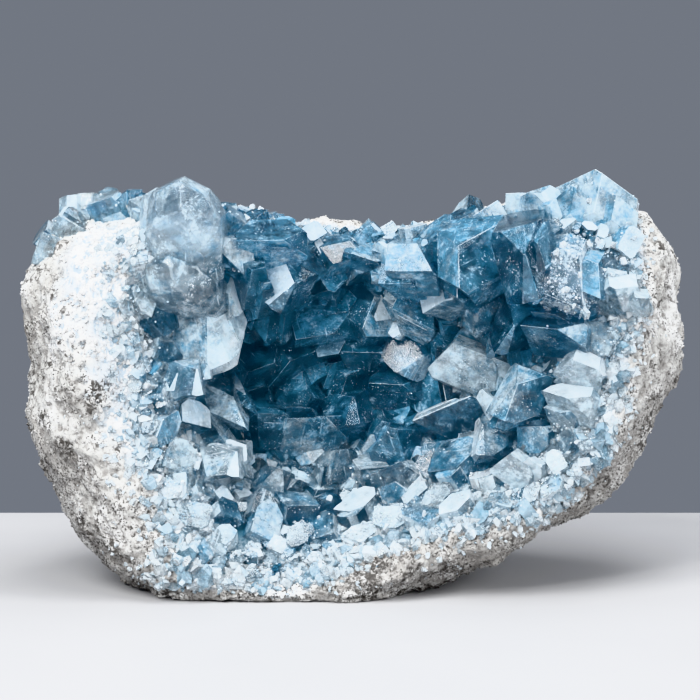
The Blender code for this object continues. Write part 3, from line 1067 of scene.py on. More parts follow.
class Habit(Enum):
    """The shapes of crystals, each a cube of side 1 cut by (direction, distance) planes, tip at +Z."""

    WEDGE = (
        ((0.0, 0.78, 0.62), 0.34), ((0.0, -0.70, 0.71), 0.31), ((0.62, 0.0, 0.78), 0.46),
        ((0.77, 0.64, 0.0), 0.51), ((-0.77, 0.64, 0.0), 0.52),
    )
    POINT = (
        ((0.55, 0.50, 0.67), 0.33), ((-0.58, 0.48, 0.66), 0.37), ((0.50, -0.58, 0.64), 0.35),
        ((-0.52, -0.52, 0.68), 0.31),
    )
    BLOCK = (
        ((0.66, 0.0, 0.75), 0.44), ((-0.52, 0.20, 0.83), 0.42), ((0.74, -0.67, 0.0), 0.50),
        ((0.0, 0.66, 0.75), 0.50),
    )
    CLEAVED = (
        ((0.34, -0.42, 0.84), 0.24), ((-0.72, 0.25, 0.65), 0.43), ((0.80, 0.60, 0.0), 0.48),
        ((0.20, 0.75, 0.63), 0.42),
    )
    RHOMB = (
        ((0.80, 0.60, 0.0), 0.37), ((-0.80, -0.60, 0.0), 0.38), ((0.0, 0.55, 0.84), 0.38),
        ((0.0, -0.60, 0.80), 0.34),
    )
    DOME = (
        ((0.85, 0.20, 0.49), 0.47), ((0.25, 0.83, 0.50), 0.46), ((-0.62, 0.62, 0.48), 0.48),
        ((-0.84, -0.25, 0.48), 0.46), ((-0.20, -0.86, 0.47), 0.45), ((0.62, -0.63, 0.47), 0.47),
        ((0.42, 0.30, 0.86), 0.45), ((-0.35, 0.38, 0.86), 0.46), ((-0.30, -0.42, 0.86), 0.45),
        ((0.40, -0.38, 0.83), 0.46), ((0.71, 0.71, 0.0), 0.56), ((-0.71, 0.71, 0.0), 0.57),
        ((0.71, -0.71, 0.0), 0.57), ((-0.71, -0.71, 0.0), 0.56),
    )


FILL_HABITS = (Habit.WEDGE, Habit.POINT, Habit.BLOCK, Habit.CLEAVED, Habit.RHOMB)


class Tone(Enum):
    """The looks of a crystal's body, as (tint, haze, frost)."""

    GLASSY = (0.16, 0.36, 0.06)
    PALE = (0.12, 0.44, 0.0)
    MILKY = (0.09, 0.80, 0.0)
    SATIN = (0.0, 0.84, 0.0)
    SMOKY = (0.34, 0.40, 0.0)
    MIDDLE = (0.42, 0.48, 0.0)
    BLUE = (0.60, 0.44, 0.0)
    # DEEP goes to the crystals deep in the middle of the hollow; its darker blue is partly painted shade.
    DEEP = (0.80, 0.46, 0.0)
    DRUSY = (0.52, 0.46, 0.66)


LARGE_CRYSTALS = (
    ((-64, 139), (29, 28, 41), (-0.05, -0.65, 0.72), Habit.DOME, Tone.GLASSY),
    ((-67, 122), (29, 26, 36), (-0.12, -0.88, 0.32), Habit.DOME, Tone.GLASSY),
    ((-60, 104), (32, 28, 36), (0.15, -0.95, -0.05), Habit.BLOCK, Tone.MILKY),
    ((-49, 141), (14, 15, 24), (0.10, -0.80, 0.40), Habit.POINT, Tone.MIDDLE),
    ((-33, 135), (28, 20, 34), (0.10, -0.90, 0.10), Habit.WEDGE, Tone.BLUE),
    ((-7, 128), (25, 17, 30), (0.10, -0.85, -0.20), Habit.CLEAVED, Tone.BLUE),
    ((9, 126), (17, 15, 28), (-0.10, -0.90, 0.10), Habit.WEDGE, Tone.MIDDLE),
    ((25, 126), (20, 21, 32), (-0.15, -0.95, -0.02), Habit.RHOMB, Tone.MIDDLE),
    ((47, 129), (25, 28, 38), (-0.20, -0.85, -0.35), Habit.POINT, Tone.BLUE),
    ((67, 134), (22, 27, 40), (-0.10, -0.90, -0.15), Habit.BLOCK, Tone.BLUE),
    ((83, 127), (26, 29, 42), (-0.25, -0.85, -0.35), Habit.RHOMB, Tone.DRUSY),
    ((94, 149), (32, 22, 28), (0.00, -0.55, 0.78), Habit.POINT, Tone.MILKY),
    ((75, 147), (17, 12, 18), (-0.10, -0.40, 0.85), Habit.BLOCK, Tone.MILKY),
    ((46, 143), (12, 9, 20), (0.15, -0.50, 0.75), Habit.CLEAVED, Tone.PALE),
    ((-43, 122), (10, 24, 34), (0.35, -0.85, 0.20), Habit.WEDGE, Tone.DEEP),
    ((-28, 121), (21, 19, 30), (0.10, -0.90, -0.10), Habit.BLOCK, Tone.BLUE),
    ((-13, 118), (22, 20, 30), (0.20, -0.90, -0.10), Habit.POINT, Tone.DEEP),
    ((-34, 107), (23, 21, 30), (0.30, -0.85, 0.10), Habit.CLEAVED, Tone.DEEP),
    ((-14, 102), (25, 24, 32), (0.15, -0.90, -0.20), Habit.WEDGE, Tone.DEEP),
    ((-26, 89), (27, 22, 32), (0.20, -0.90, -0.25), Habit.CLEAVED, Tone.DEEP),
    ((8, 104), (26, 25, 36), (-0.15, -0.92, -0.20), Habit.POINT, Tone.MIDDLE),
    ((26, 108), (20, 21, 32), (-0.10, -0.92, -0.15), Habit.RHOMB, Tone.MIDDLE),
    ((37, 103), (13, 16, 28), (-0.20, -0.92, 0.10), Habit.POINT, Tone.BLUE),
    ((54, 110), (16, 24, 34), (-0.25, -0.92, -0.10), Habit.DOME, Tone.MIDDLE),
    ((67, 109), (17, 20, 32), (-0.30, -0.85, -0.30), Habit.BLOCK, Tone.BLUE),
    ((50, 83), (26, 20, 36), (-0.40, -0.80, 0.35), Habit.CLEAVED, Tone.SATIN),
    ((23, 90), (24, 16, 30), (0.10, -0.95, -0.10), Habit.BLOCK, Tone.MIDDLE),
    ((2, 87), (21, 20, 30), (0.10, -0.95, 0.15), Habit.RHOMB, Tone.DEEP),
    ((84, 101), (24, 19, 34), (-0.40, -0.85, 0.15), Habit.WEDGE, Tone.MIDDLE),
    ((102, 118), (17, 17, 24), (-0.25, -0.90, 0.20), Habit.POINT, Tone.PALE),
    ((-55, 74), (18, 16, 42), (0.45, -0.75, -0.35), Habit.POINT, Tone.SMOKY),
    ((-69, 82), (17, 15, 28), (0.40, -0.85, 0.20), Habit.BLOCK, Tone.SMOKY),
    ((-19, 54), (27, 18, 34), (0.20, -0.80, 0.45), Habit.WEDGE, Tone.MIDDLE),
    ((-2, 61), (21, 17, 30), (0.05, -0.85, 0.40), Habit.BLOCK, Tone.BLUE),
    ((19, 73), (22, 20, 30), (-0.10, -0.95, 0.20), Habit.WEDGE, Tone.BLUE),
    ((37, 91), (17, 18, 28), (-0.25, -0.92, 0.20), Habit.POINT, Tone.DEEP),
    ((42, 60), (27, 15, 32), (-0.30, -0.75, 0.50), Habit.RHOMB, Tone.SMOKY),
    ((17, 51), (23, 18, 32), (-0.05, -0.80, 0.50), Habit.POINT, Tone.BLUE),
    ((0, 73), (24, 19, 28), (0.10, -0.92, 0.30), Habit.CLEAVED, Tone.DEEP),
    ((58, 56), (14, 18, 30), (-0.40, -0.80, 0.35), Habit.BLOCK, Tone.SMOKY),
    ((-23, 71), (21, 19, 30), (0.25, -0.92, 0.15), Habit.POINT, Tone.DEEP),
    ((71, 75), (20, 22, 32), (-0.45, -0.80, 0.20), Habit.BLOCK, Tone.MIDDLE),
    ((88, 75), (18, 16, 26), (-0.45, -0.80, 0.20), Habit.WEDGE, Tone.PALE),
    ((91, 88), (18, 15, 26), (-0.40, -0.85, 0.10), Habit.CLEAVED, Tone.PALE),
    ((-42, 85), (19, 20, 30), (0.40, -0.85, 0.05), Habit.WEDGE, Tone.DEEP),
    ((-41, 59), (15, 20, 32), (0.45, -0.75, 0.40), Habit.RHOMB, Tone.DEEP),
    ((-33, 37), (18, 15, 26), (0.25, -0.75, 0.60), Habit.POINT, Tone.GLASSY),
    ((-54, 46), (19, 15, 26), (0.40, -0.80, 0.40), Habit.BLOCK, Tone.PALE),
    ((19, 39), (15, 15, 26), (-0.10, -0.75, 0.60), Habit.WEDGE, Tone.PALE),
    ((-6, 42), (16, 14, 28), (0.10, -0.80, 0.50), Habit.CLEAVED, Tone.PALE),
    ((66, 47), (14, 14, 26), (-0.40, -0.80, 0.40), Habit.CLEAVED, Tone.PALE),
)


@dataclass
class Crystal:
    """One crystal: where it is rooted, its size, the way that its tip points, and its looks."""

    root: Vector
    size: Vector
    tip: Vector
    spin: float
    habit: Habit
    tint: float = 0.5
    haze: float = 0.1
    frost: float = 0.0
    sunk: float = 0.30

    @property
    def width(self) -> float:
        """Its larger width across."""
        return max(self.size.x, self.size.y)

    def turned(self) -> Matrix:
        """Its turn, which takes +Z to its tip."""
        return self.tip.to_track_quat("Z", "Y").to_matrix().to_4x4() @ Matrix.Rotation(self.spin, 4, "Z")

    def matrix(self) -> Matrix:
        """The placing of a unit crystal."""
        centre = self.root + self.tip * self.size.z * (0.5 - self.sunk)
        return Matrix.Translation(centre) @ self.turned() @ Matrix.Diagonal((*self.size, 1.0))

    def bottom(self) -> float:
        """The lowest height that its box reaches."""
        placed = self.matrix()
        return placed[2][3] - sum(abs(placed[2][axis]) for axis in range(3)) / 2


@dataclass
class CrystalPlan:
    """Decides where every crystal of the crust stands.

    The large and fill crystals are those of the solid, in the same places. Companions grow beside
    them in parallel and make their steps. The small ones close the gaps between them. A pair of
    numbers is a range for random draws where nothing else is said.
    """

    nodule: Nodule
    seed: int = 11
    large_spin: float = 0.5

    # Fill crystals, in the hollow and on the patch behind the left shoulder, whose tilts and turns
    # are given as (middle, reach)
    fill_tries: int = 2600
    middle_width: float = 19 * MM
    edge_width: float = 11 * MM
    width_fall: float = 2.5
    crowding: float = 0.6
    edge_margin: float = 2.0
    spacing: float = 0.82
    length: float = 1.55
    lean: float = 0.42
    patch_tries: int = 160
    patch_tilts: tuple[float, float] = (104, 13)
    patch_turns: tuple[float, float] = (138, 22)
    patch_width: float = 13 * MM
    patch_length: float = 1.15
    patch_share: float = 0.9
    width_range: tuple[float, float] = (0.75, 1.2)
    thickness_range: tuple[float, float] = (0.6, 1.0)
    length_range: tuple[float, float] = (0.85, 1.25)
    lowest: float = 4 * MM

    # Companions, measured against the crystal that they grow beside
    companion_count: tuple[int, int] = (1, 3)
    companion_aside: float = 0.42
    companion_width: tuple[float, float] = (0.42, 0.72)
    companion_flatness: tuple[float, float] = (0.8, 1.2)
    companion_length: tuple[float, float] = (0.66, 0.93)
    companion_lean: float = 0.05

    # Small crystals
    small_tries: int = 8000
    small_middle_width: float = 8.5 * MM
    small_edge_width: float = 3.6 * MM
    small_width_fall: int = 2
    small_width_range: tuple[float, float] = (0.7, 1.3)
    small_crowding: float = 0.55
    small_margin: float = 1.0
    small_spacing: float = 0.55

    # Looks: frost starts a little inside the edge and is lighter on wide crystals
    least_tint: float = 0.06
    tint_spread: float = 0.26
    haze_spread: float = 0.20
    haze_limits: tuple[float, float] = (0.30, 0.70)
    patch_frost: float = 0.35
    frost_start: float = 1.15
    wide: float = 16 * MM
    frost_on_wide: float = 0.22
    frost_on_small: float = 0.78
    frost_range: tuple[float, float] = (0.4, 1.3)
    frost_passed_on: tuple[float, float] = (0.2, 0.8)
    found: list[Crystal] = field(default_factory=list)

    def large(self) -> None:
        """Adds the crystals that were chosen one by one."""
        rng = Random(self.seed)
        for (x, z), size, tip, habit, tone in LARGE_CRYSTALS:
            root = self.nodule.point(*self.nodule.tilt_at(x * MM, z * MM))
            spin = rng.uniform(-self.large_spin, self.large_spin)
            tip = Vector(tip).normalized()
            self.found.append(Crystal(root, Vector(size) * MM, tip, spin, habit, *tone.value))

    def fill_places(self, rng: Random) -> Iterator[tuple[float, float, float, float]]:
        """Draws places for the fill crystals.

        Args:
            rng: The source of the random draws.

        Returns:
            The places, each as (tilt, turn, width, length).
        """
        for _ in range(self.fill_tries):
            turn = rng.uniform(0, 360)
            share = rng.uniform(0.0, 1.0) ** self.crowding
            width = self.middle_width + (self.edge_width - self.middle_width) * share**self.width_fall
            width *= rng.uniform(*self.width_range)
            tilt = share * (self.nodule.edge(turn) - self.edge_margin)
            yield tilt, turn, width, width * self.length * rng.uniform(*self.length_range)
        limit = self.patch_share
        (middle_tilt, tilt_reach), (middle_turn, turn_reach) = self.patch_tilts, self.patch_turns
        for _ in range(self.patch_tries):
            across, over = rng.uniform(-limit, limit), rng.uniform(-limit, limit)
            width = self.patch_width * rng.uniform(*self.width_range)
            length = width * self.patch_length * rng.uniform(*self.length_range)
            yield middle_tilt + tilt_reach * over, middle_turn + turn_reach * across, width, length

    def is_free(self, root: Vector, width: float, spacing: float) -> bool:
        """Whether a crystal of this width has room here."""
        return all((root - c.root).length >= spacing * (width + c.width) / 2 for c in self.found)

    def add_at(
        self, rng: Random, tilt: float, turn: float, width: float, length: float, spacing: float
    ) -> None:
        """Adds a crystal at a place, if it has room there.

        Args:
            rng: The source of the random draws.
            tilt: The tilt of the place.
            turn: The turn of the place.
            width: The crystal's width.
            length: The crystal's length.
            spacing: The room that it needs, as a share of the widths.
        """
        thickness = width * rng.uniform(*self.thickness_range)
        lean = random_vector(rng, 1) * self.lean
        habit = rng.choice(FILL_HABITS)
        spin = rng.uniform(0, math.pi)
        root = self.nodule.point(tilt, turn)
        if root.z < self.lowest + width / 2 or not self.is_free(root, width, spacing):
            return
        tip = (self.nodule.normal(tilt, turn) + lean).normalized()
        self.found.append(Crystal(root, Vector((width, thickness, length)), tip, spin, habit))

    def fill(self) -> None:
        """Adds the crystals between the large ones."""
        rng = Random(self.seed + 1)
        for tilt, turn, width, length in self.fill_places(rng):
            self.add_at(rng, tilt, turn, width, length, self.spacing)

    def companions(self) -> None:
        """Adds parallel neighbours to the crystals so far, lower than they are."""
        rng = Random(self.seed + 4)
        aside = self.companion_aside
        for crystal in list(self.found):
            for _ in range(rng.randint(*self.companion_count)):
                step = Vector((rng.uniform(-aside, aside), rng.uniform(-aside, aside), 0))
                step = Vector((step.x * crystal.size.x, step.y * crystal.size.y, 0))
                root = crystal.root + crystal.turned().to_3x3() @ step
                share = rng.uniform(*self.companion_width)
                thickness = share * rng.uniform(*self.companion_flatness)
                shares = Vector((share, thickness, rng.uniform(*self.companion_length)))
                size = Vector([a * b for a, b in zip(crystal.size, shares)])
                tip = (crystal.tip + random_vector(rng, self.companion_lean)).normalized()
                look = crystal.tint, crystal.haze
                self.found.append(Crystal(root, size, tip, crystal.spin, crystal.habit, *look))

    def small(self) -> None:
        """Adds the small crystals in the gaps."""
        rng = Random(self.seed + 2)
        middle, edge = self.small_middle_width, self.small_edge_width
        for _ in range(self.small_tries):
            turn = rng.uniform(0, 360)
            share = rng.uniform(0.0, 1.0) ** self.small_crowding
            width = middle + (edge - middle) * share**self.small_width_fall
            width *= rng.uniform(*self.small_width_range)
            tilt = share * (self.nodule.edge(turn) + self.small_margin)
            length = width * self.length * rng.uniform(*self.length_range)
            self.add_at(rng, tilt, turn, width, length, self.small_spacing)
        self.found = [c for c in self.found if c.bottom() > self.lowest]

    def own_frost(self, crystal: Crystal) -> float:
        """Works out how frosted a crystal is by its place and size, before random draws.

        Args:
            crystal: The crystal.

        Returns:
            The frost.
        """
        tilt, turn = self.nodule.tilt_at(crystal.root.x, crystal.root.z)
        small = 1.0 - min(1.0, crystal.width / self.wide)
        inside = (self.nodule.edge(turn) - tilt) / around(FROST_REACH, turn)
        edge = max(0.0, min(1.0, self.frost_start - inside))
        if tilt > self.nodule.edge(turn) + self.edge_margin:
            edge = self.patch_frost
        return edge * (self.frost_on_wide + self.frost_on_small * small)

    def colour(self) -> None:
        """Gives every crystal the tone of the nearest large one, and its frost near the edge."""
        rng = Random(self.seed + 3)
        large = self.found[: len(LARGE_CRYSTALS)]
        least, most = self.haze_limits
        for crystal in self.found:
            nearest = min(large, key=lambda other: (other.root - crystal.root).length)
            frost = min(1.0, self.own_frost(crystal) * rng.uniform(*self.frost_range))
            if crystal is not nearest:
                frost = max(frost, nearest.frost * rng.uniform(*self.frost_passed_on))
                tint = nearest.tint + rng.uniform(-self.tint_spread, self.tint_spread)
                crystal.tint = max(self.least_tint, tint)
                haze = nearest.haze + rng.uniform(-self.haze_spread, self.haze_spread)
                crystal.haze = min(max(haze, least), most)
            crystal.frost = max(crystal.frost, frost)

    def make(self) -> list[Crystal]:
        """Plans all crystals.

        Returns:
            The crystals, the solid's own first.
        """
        self.large()
        self.fill()
        own = len(self.found)
        self.companions()
        self.small()
        self.colour()
        LOG.info("plan: %d crystals of the solid, %d in all", own, len(self.found))
        return self.found


@dataclass
class CrystalShapes:
    """The crystals that are modelled once and copied: some variants of each habit.

    Domes get round edges, the others chamfers. Faces that don't look up have less painted sheen, so faces
    that look up are painted paler.
    """

    seed: int
    variants: int
    facets: int
    chamfer: float = 0.0
    rounding: float = 0.02
    round_steps: int = 3
    # Painted sheen: faces that look up more than upward may take all of it, the others at most dull of it.
    upward: float = 0.2
    dull: float = 0.82
    dome_gleam: float = 0.5
    map_step: float = 0.037
    shift_step: float = 0.618

    def __post_init__(self) -> None:
        """Models the variants."""
        rng = Random(self.seed)
        self.meshes = {}
        for habit in Habit:
            is_dome = habit is Habit.DOME
            edge = (self.rounding, self.round_steps) if is_dome else (self.chamfer, 1)
            for number in range(self.variants):
                cuts = habit.value + corner_cuts(rng, self.facets)
                self.meshes[habit, number] = cut_cube(f"{habit.name.lower()}_{number}", cuts, *edge)

    def growth_map(self, mesh: bpy.types.Mesh, size: Vector, shift: float) -> None:
        """Gives a unit crystal a UV map in metres, u across its face and v along its length.

        Args:
            mesh: The mesh of the crystal.
            size: The size that it will have.
            shift: What is added to both, so that no two crystals have the same map.
        """
        layer = mesh.uv_layers.active or mesh.uv_layers.new()
        layer.name = "growth"
        for face in mesh.polygons:
            across = 1 if abs(face.normal.x) > abs(face.normal.y) else 0
            for loop in face.loop_indices:
                place = mesh.vertices[mesh.loops[loop].vertex_index].co
                layer.data[loop].uv = (place[across] * size[across] + shift, place.z * size.z + shift)

    def painted_gleams(self, mesh: bpy.types.Mesh, crystal: Crystal, number: int) -> list[float]:
        """Draws a painted sheen for each face, highest on some of those that look up.

        Args:
            mesh: The mesh of the crystal, at its place.
            crystal: The crystal.
            number: The crystal's number, which is the seed of the draws.

        Returns:
            The painted sheens.
        """
        if crystal.habit is Habit.DOME:
            return [self.dome_gleam] * len(mesh.polygons)
        rng = Random(number)
        shares = [1.0 if face.normal.z > self.upward else self.dull for face in mesh.polygons]
        return [share * rng.random() for share in shares]

    def place(self, crystal: Crystal, number: int) -> bpy.types.Object:
        """Copies a shape to its place, with its looks in face attributes.

        Args:
            crystal: The crystal.
            number: The crystal's number, which chooses the variant.

        Returns:
            The copy, not yet in any collection.
        """
        mesh = self.meshes[crystal.habit, number % self.variants].copy()
        self.growth_map(mesh, crystal.size, number * self.map_step)
        mesh.transform(crystal.matrix())
        count = len(mesh.polygons)
        shift = number * self.shift_step % 1.0
        looks = {"tint": crystal.tint, "haze": crystal.haze, "frost": crystal.frost, "shift": shift}
        for name, value in looks.items():
            store(mesh, name, [value] * count)
        store(mesh, "painted_gleam", self.painted_gleams(mesh, crystal, number))
        return bpy.data.objects.new(f"crystal_{number:04d}", mesh)


@dataclass
class CrystalCrust:
    """The crust of crystals that lines the hollow, joined in one piece, large ones with chamfers."""

    chamfer: float = 0.007
    fine_width: float = 9 * MM
    smooth_angle: float = 13.0
    finish: CelestiteFinish = CelestiteFinish()

    def build(self, crystals: Sequence[Crystal]) -> bpy.types.Object:
        """Copies the shapes to their places and joins them.

        Args:
            crystals: The crystals.

        Returns:
            The crust.
        """
        large = CrystalShapes(seed=21, variants=4, facets=6, chamfer=self.chamfer)
        small = CrystalShapes(seed=22, variants=3, facets=3)
        bodies = []
        for number, crystal in enumerate(crystals):
            shapes = large if crystal.width > self.fine_width else small
            bodies.append(shapes.place(crystal, number))
        piece = join_union(bodies, "celestite_crystals")
        dress(piece, self.finish.make())
        activate(piece)
        bpy.ops.object.shade_smooth_by_angle(angle=math.radians(self.smooth_angle))
        return piece


# Rock


class Rim:
    """Measures places against the edge of the crust.

    What lies inside that edge is on the open side: at most FRONT_MARGIN behind the outline, or
    up to FRONT_DEPTH back in the middle, where the hollow is.
    """

    FRONT_MARGIN = 6 * MM
    FRONT_DEPTH = 45 * MM
    FRONT_FULLNESS = 4
    DEEP_TILT = 14.0

    def __init__(self, nodule: Nodule) -> None:
        """Reads the nodule at every degree of turn.

        Args:
            nodule: The nodule.
        """
        self.nodule = nodule
        self.turns = np.arange(0, 361)
        self.reaches = np.array([nodule.reach(t) for t in self.turns])
        self.edges = np.array([nodule.edge(t) for t in self.turns])
        self.sides = np.array([nodule.front_depth(nodule.SIDE_TILT, t) for t in self.turns])
        self.tree = KDTree(len(self.turns))
        for turn in self.turns:
            self.tree.insert(nodule.point(nodule.edge(turn), turn), int(turn))
        self.tree.balance()

    def by_turn(self, knots: Knots, turns: np.ndarray) -> np.ndarray:
        """The values at many turns of a closed curve."""
        return np.interp(turns, self.turns, [around(knots, t) for t in self.turns])

    def measure(self, spots: np.ndarray) -> dict[str, np.ndarray]:
        """Finds where each place lies against the edge of the crystals.

        Args:
            spots: The places, one row each.

        Returns:
            distance from that edge in metres, turn in degrees, inside for a place within the edge,
            and deep: 0 on the edge or outside, up to 1 in the hollow.
        """
        centre = self.nodule.CENTRE
        turn = np.degrees(np.arctan2(spots[:, 2] - centre.z, spots[:, 0] - centre.x)) % 360
        across = np.hypot(spots[:, 0] - centre.x, spots[:, 2] - centre.z)
        reach = np.interp(turn, self.turns, self.reaches)
        share = np.clip(across / reach, 0, self.nodule.LARGEST_SHARE)
        tilt = np.degrees(np.arcsin(share)) * self.nodule.SIDE_TILT / 90
        edge = np.interp(turn, self.turns, self.edges)
        sides = np.interp(turn, self.turns, self.sides)
        hollow = self.FRONT_DEPTH * (1 - share**self.FRONT_FULLNESS)
        inside = (spots[:, 1] < np.maximum(sides + self.FRONT_MARGIN, hollow)) & (tilt < edge)
        distance = np.array([self.tree.find(spot)[2] for spot in spots])
        deep = np.where(inside, np.clip((edge - tilt) / self.DEEP_TILT, 0, 1), 0.0)
        return {"distance": distance, "turn": turn, "inside": inside, "deep": deep}


def read_points(mesh: bpy.types.Mesh, name: str = "co") -> np.ndarray:
    """Reads the places or the normals of a mesh's points.

    Args:
        mesh: The mesh.
        name: co for the places, normal for the normals.

    Returns:
        The places or normals, one row each.
    """
    values = np.empty(len(mesh.vertices) * 3)
    mesh.vertices.foreach_get(name, values)
    return values.reshape(-1, 3)


def hollowness(mesh: bpy.types.Mesh, reach: float, rounds: int = 4) -> np.ndarray:
    """Works out how far each point lies below the points around it.

    Args:
        mesh: The mesh.
        reach: The depth that counts as 1.
        rounds: How many times the neighbours' mean is taken.

    Returns:
        The depth at each point, from 0 to 1.
    """
    spots = read_points(mesh)
    ends = np.empty(len(mesh.edges) * 2, dtype=int)
    mesh.edges.foreach_get("vertices", ends)
    first, second = ends.reshape(-1, 2).T
    count = np.bincount(np.concatenate((first, second)), minlength=len(spots))[:, None]
    mean = spots
    for _ in range(rounds):
        total = np.zeros_like(spots)
        np.add.at(total, first, mean[second])
        np.add.at(total, second, mean[first])
        mean = total / np.maximum(count, 1)
    depth = ((mean - spots) * read_points(mesh, "normal")).sum(axis=1)
    return np.clip(depth / reach, 0.0, 1.0)


@dataclass(frozen=True)
class Roughness:
    """A texture that moves points: its kind and size, how far it moves them, and which of them."""

    name: str
    kind: str
    size: float
    height: float
    direction: str = "NORMAL"
    group: str = "rough"

    def add_to(self, skin: bpy.types.Object) -> None:
        """Adds the texture to an object as a modifier.

        Args:
            skin: The object.
        """
        texture = bpy.data.textures.new(self.name, self.kind)
        texture.noise_scale = self.size
        rougher = skin.modifiers.new(self.name, "DISPLACE")
        rougher.texture = texture
        rougher.texture_coords = "LOCAL"
        rougher.direction = self.direction
        rougher.vertex_group = self.group
        rougher.strength = self.height
        rougher.mid_level = 0.5


@dataclass
class RockSkin:
    """The rough skin of the rock, modelled over a copy of its solid."""

    rim: Rim
    finish: RockFinish = RockFinish()
    merge_distance: float = 0.01 * MM
    divisions: int = 2
    fine_reach: float = 40 * MM
    fine_deep: float = 0.25
    underside: tuple[float, float] = (-0.08, 0.45)
    grime_and_shade_height: float = 58 * MM
    flat_height: float = 0.5 * MM
    base_rim: float = 1.6 * MM
    calm_in_hollow: float = 0.7
    foot_height: float = 7 * MM
    base_slope: tuple[float, float] = (0.6, 0.95)
    layers: tuple[Roughness, ...] = (
        Roughness("lumps", "CLOUDS", 12 * MM, 4.0 * MM),
        Roughness("knobs", "CLOUDS", 5.5 * MM, 3.4 * MM),
        Roughness("pits", "VORONOI", 3.2 * MM, 1.5 * MM),
        Roughness("grain", "CLOUDS", 1.4 * MM, 1.4 * MM),
        Roughness("foot_across", "CLOUDS", 3.6 * MM, 4.0 * MM, "X", "foot"),
        Roughness("foot_over", "CLOUDS", 3.1 * MM, 4.0 * MM, "Y", "foot"),
    )
    pit_depth: float = 0.35 * MM

    def copy_solid(self) -> bpy.types.Object:
        """Copies the solid and merges its loose triangles.

        Returns:
            The copy.
        """
        solid = frame["nodes"]["rock_shell"]
        skin = bpy.data.objects.new("rock_skin", solid.data.copy())
        bpy.context.scene.collection.objects.link(skin)
        activate(skin)
        bpy.ops.object.mode_set(mode="EDIT")
        bpy.ops.mesh.select_all(action="SELECT")
        bpy.ops.mesh.remove_doubles(threshold=self.merge_distance)
        bpy.ops.object.mode_set(mode="OBJECT")
        return skin

    def refine(self, skin: bpy.types.Object) -> None:
        """Rounds the facets, then divides the part that shows round the crystals once more.

        Args:
            skin: The skin.
        """
        rounder = skin.modifiers.new("round", "SUBSURF")
        rounder.levels = rounder.render_levels = self.divisions
        apply_all(skin)
        marks = self.rim.measure(read_points(skin.data))
        chosen = (marks["distance"] < self.fine_reach) & (marks["deep"] < self.fine_deep)
        bpy.ops.object.mode_set(mode="EDIT")
        bpy.ops.mesh.select_mode(type="VERT")
        bpy.ops.mesh.select_all(action="DESELECT")
        bpy.ops.object.mode_set(mode="OBJECT")
        skin.data.vertices.foreach_set("select", chosen)
        bpy.ops.object.mode_set(mode="EDIT")
        bpy.ops.mesh.subdivide(number_cuts=1, smoothness=0.0)
        bpy.ops.object.mode_set(mode="OBJECT")

    def mark(self, skin: bpy.types.Object) -> None:
        """Stores how near each point is to the crystals, how deep in the hollow and how low.

        Args:
            skin: The skin.
        """
        mesh = skin.data
        heights, facing_down = read_points(mesh)[:, 2], -read_points(mesh, "normal")[:, 2]
        marks = self.rim.measure(read_points(mesh))
        width = self.rim.by_turn(WHITE_REACH, marks["turn"]) * MM
        near = np.where(marks["inside"], 1.0, 1.0 - smoothstep(0.0, 1.0, marks["distance"] / width))
        # low: near the floor or facing down, where the finish paints shade with some dirt and puts more
        # specks.
        low = 1.0 - smoothstep(0.0, self.grime_and_shade_height, heights)
        low = np.maximum(smoothstep(*self.underside, facing_down), low)
        for name, values in (("near", near), ("deep", marks["deep"]), ("low", low)):
            store(mesh, name, values, "POINT")
        calm = self.calm_in_hollow * marks["deep"]
        rough = smoothstep(self.flat_height, self.base_rim, heights) * (1 - calm)
        foot = 1.0 - smoothstep(self.base_rim, self.foot_height, heights)
        foot *= 1.0 - smoothstep(*self.base_slope, facing_down)
        for name, weights in (("rough", rough), ("foot", foot)):
            group = skin.vertex_groups.new(name=name)
            for index, weight in enumerate(weights):
                group.add([index], float(weight), "REPLACE")

    def build(self) -> bpy.types.Object:
        """Models the skin: raises its roughness, and moves its foot sideways.

        Returns:
            The skin.
        """
        skin = self.copy_solid()
        self.refine(skin)
        self.mark(skin)
        for layer in self.layers:
            layer.add_to(skin)
        apply_all(skin)
        store(skin.data, "pit", hollowness(skin.data, self.pit_depth), "POINT")
        dress(skin, self.finish.make())
        activate(skin)
        bpy.ops.object.shade_smooth()
        return skin


# Small things in great number


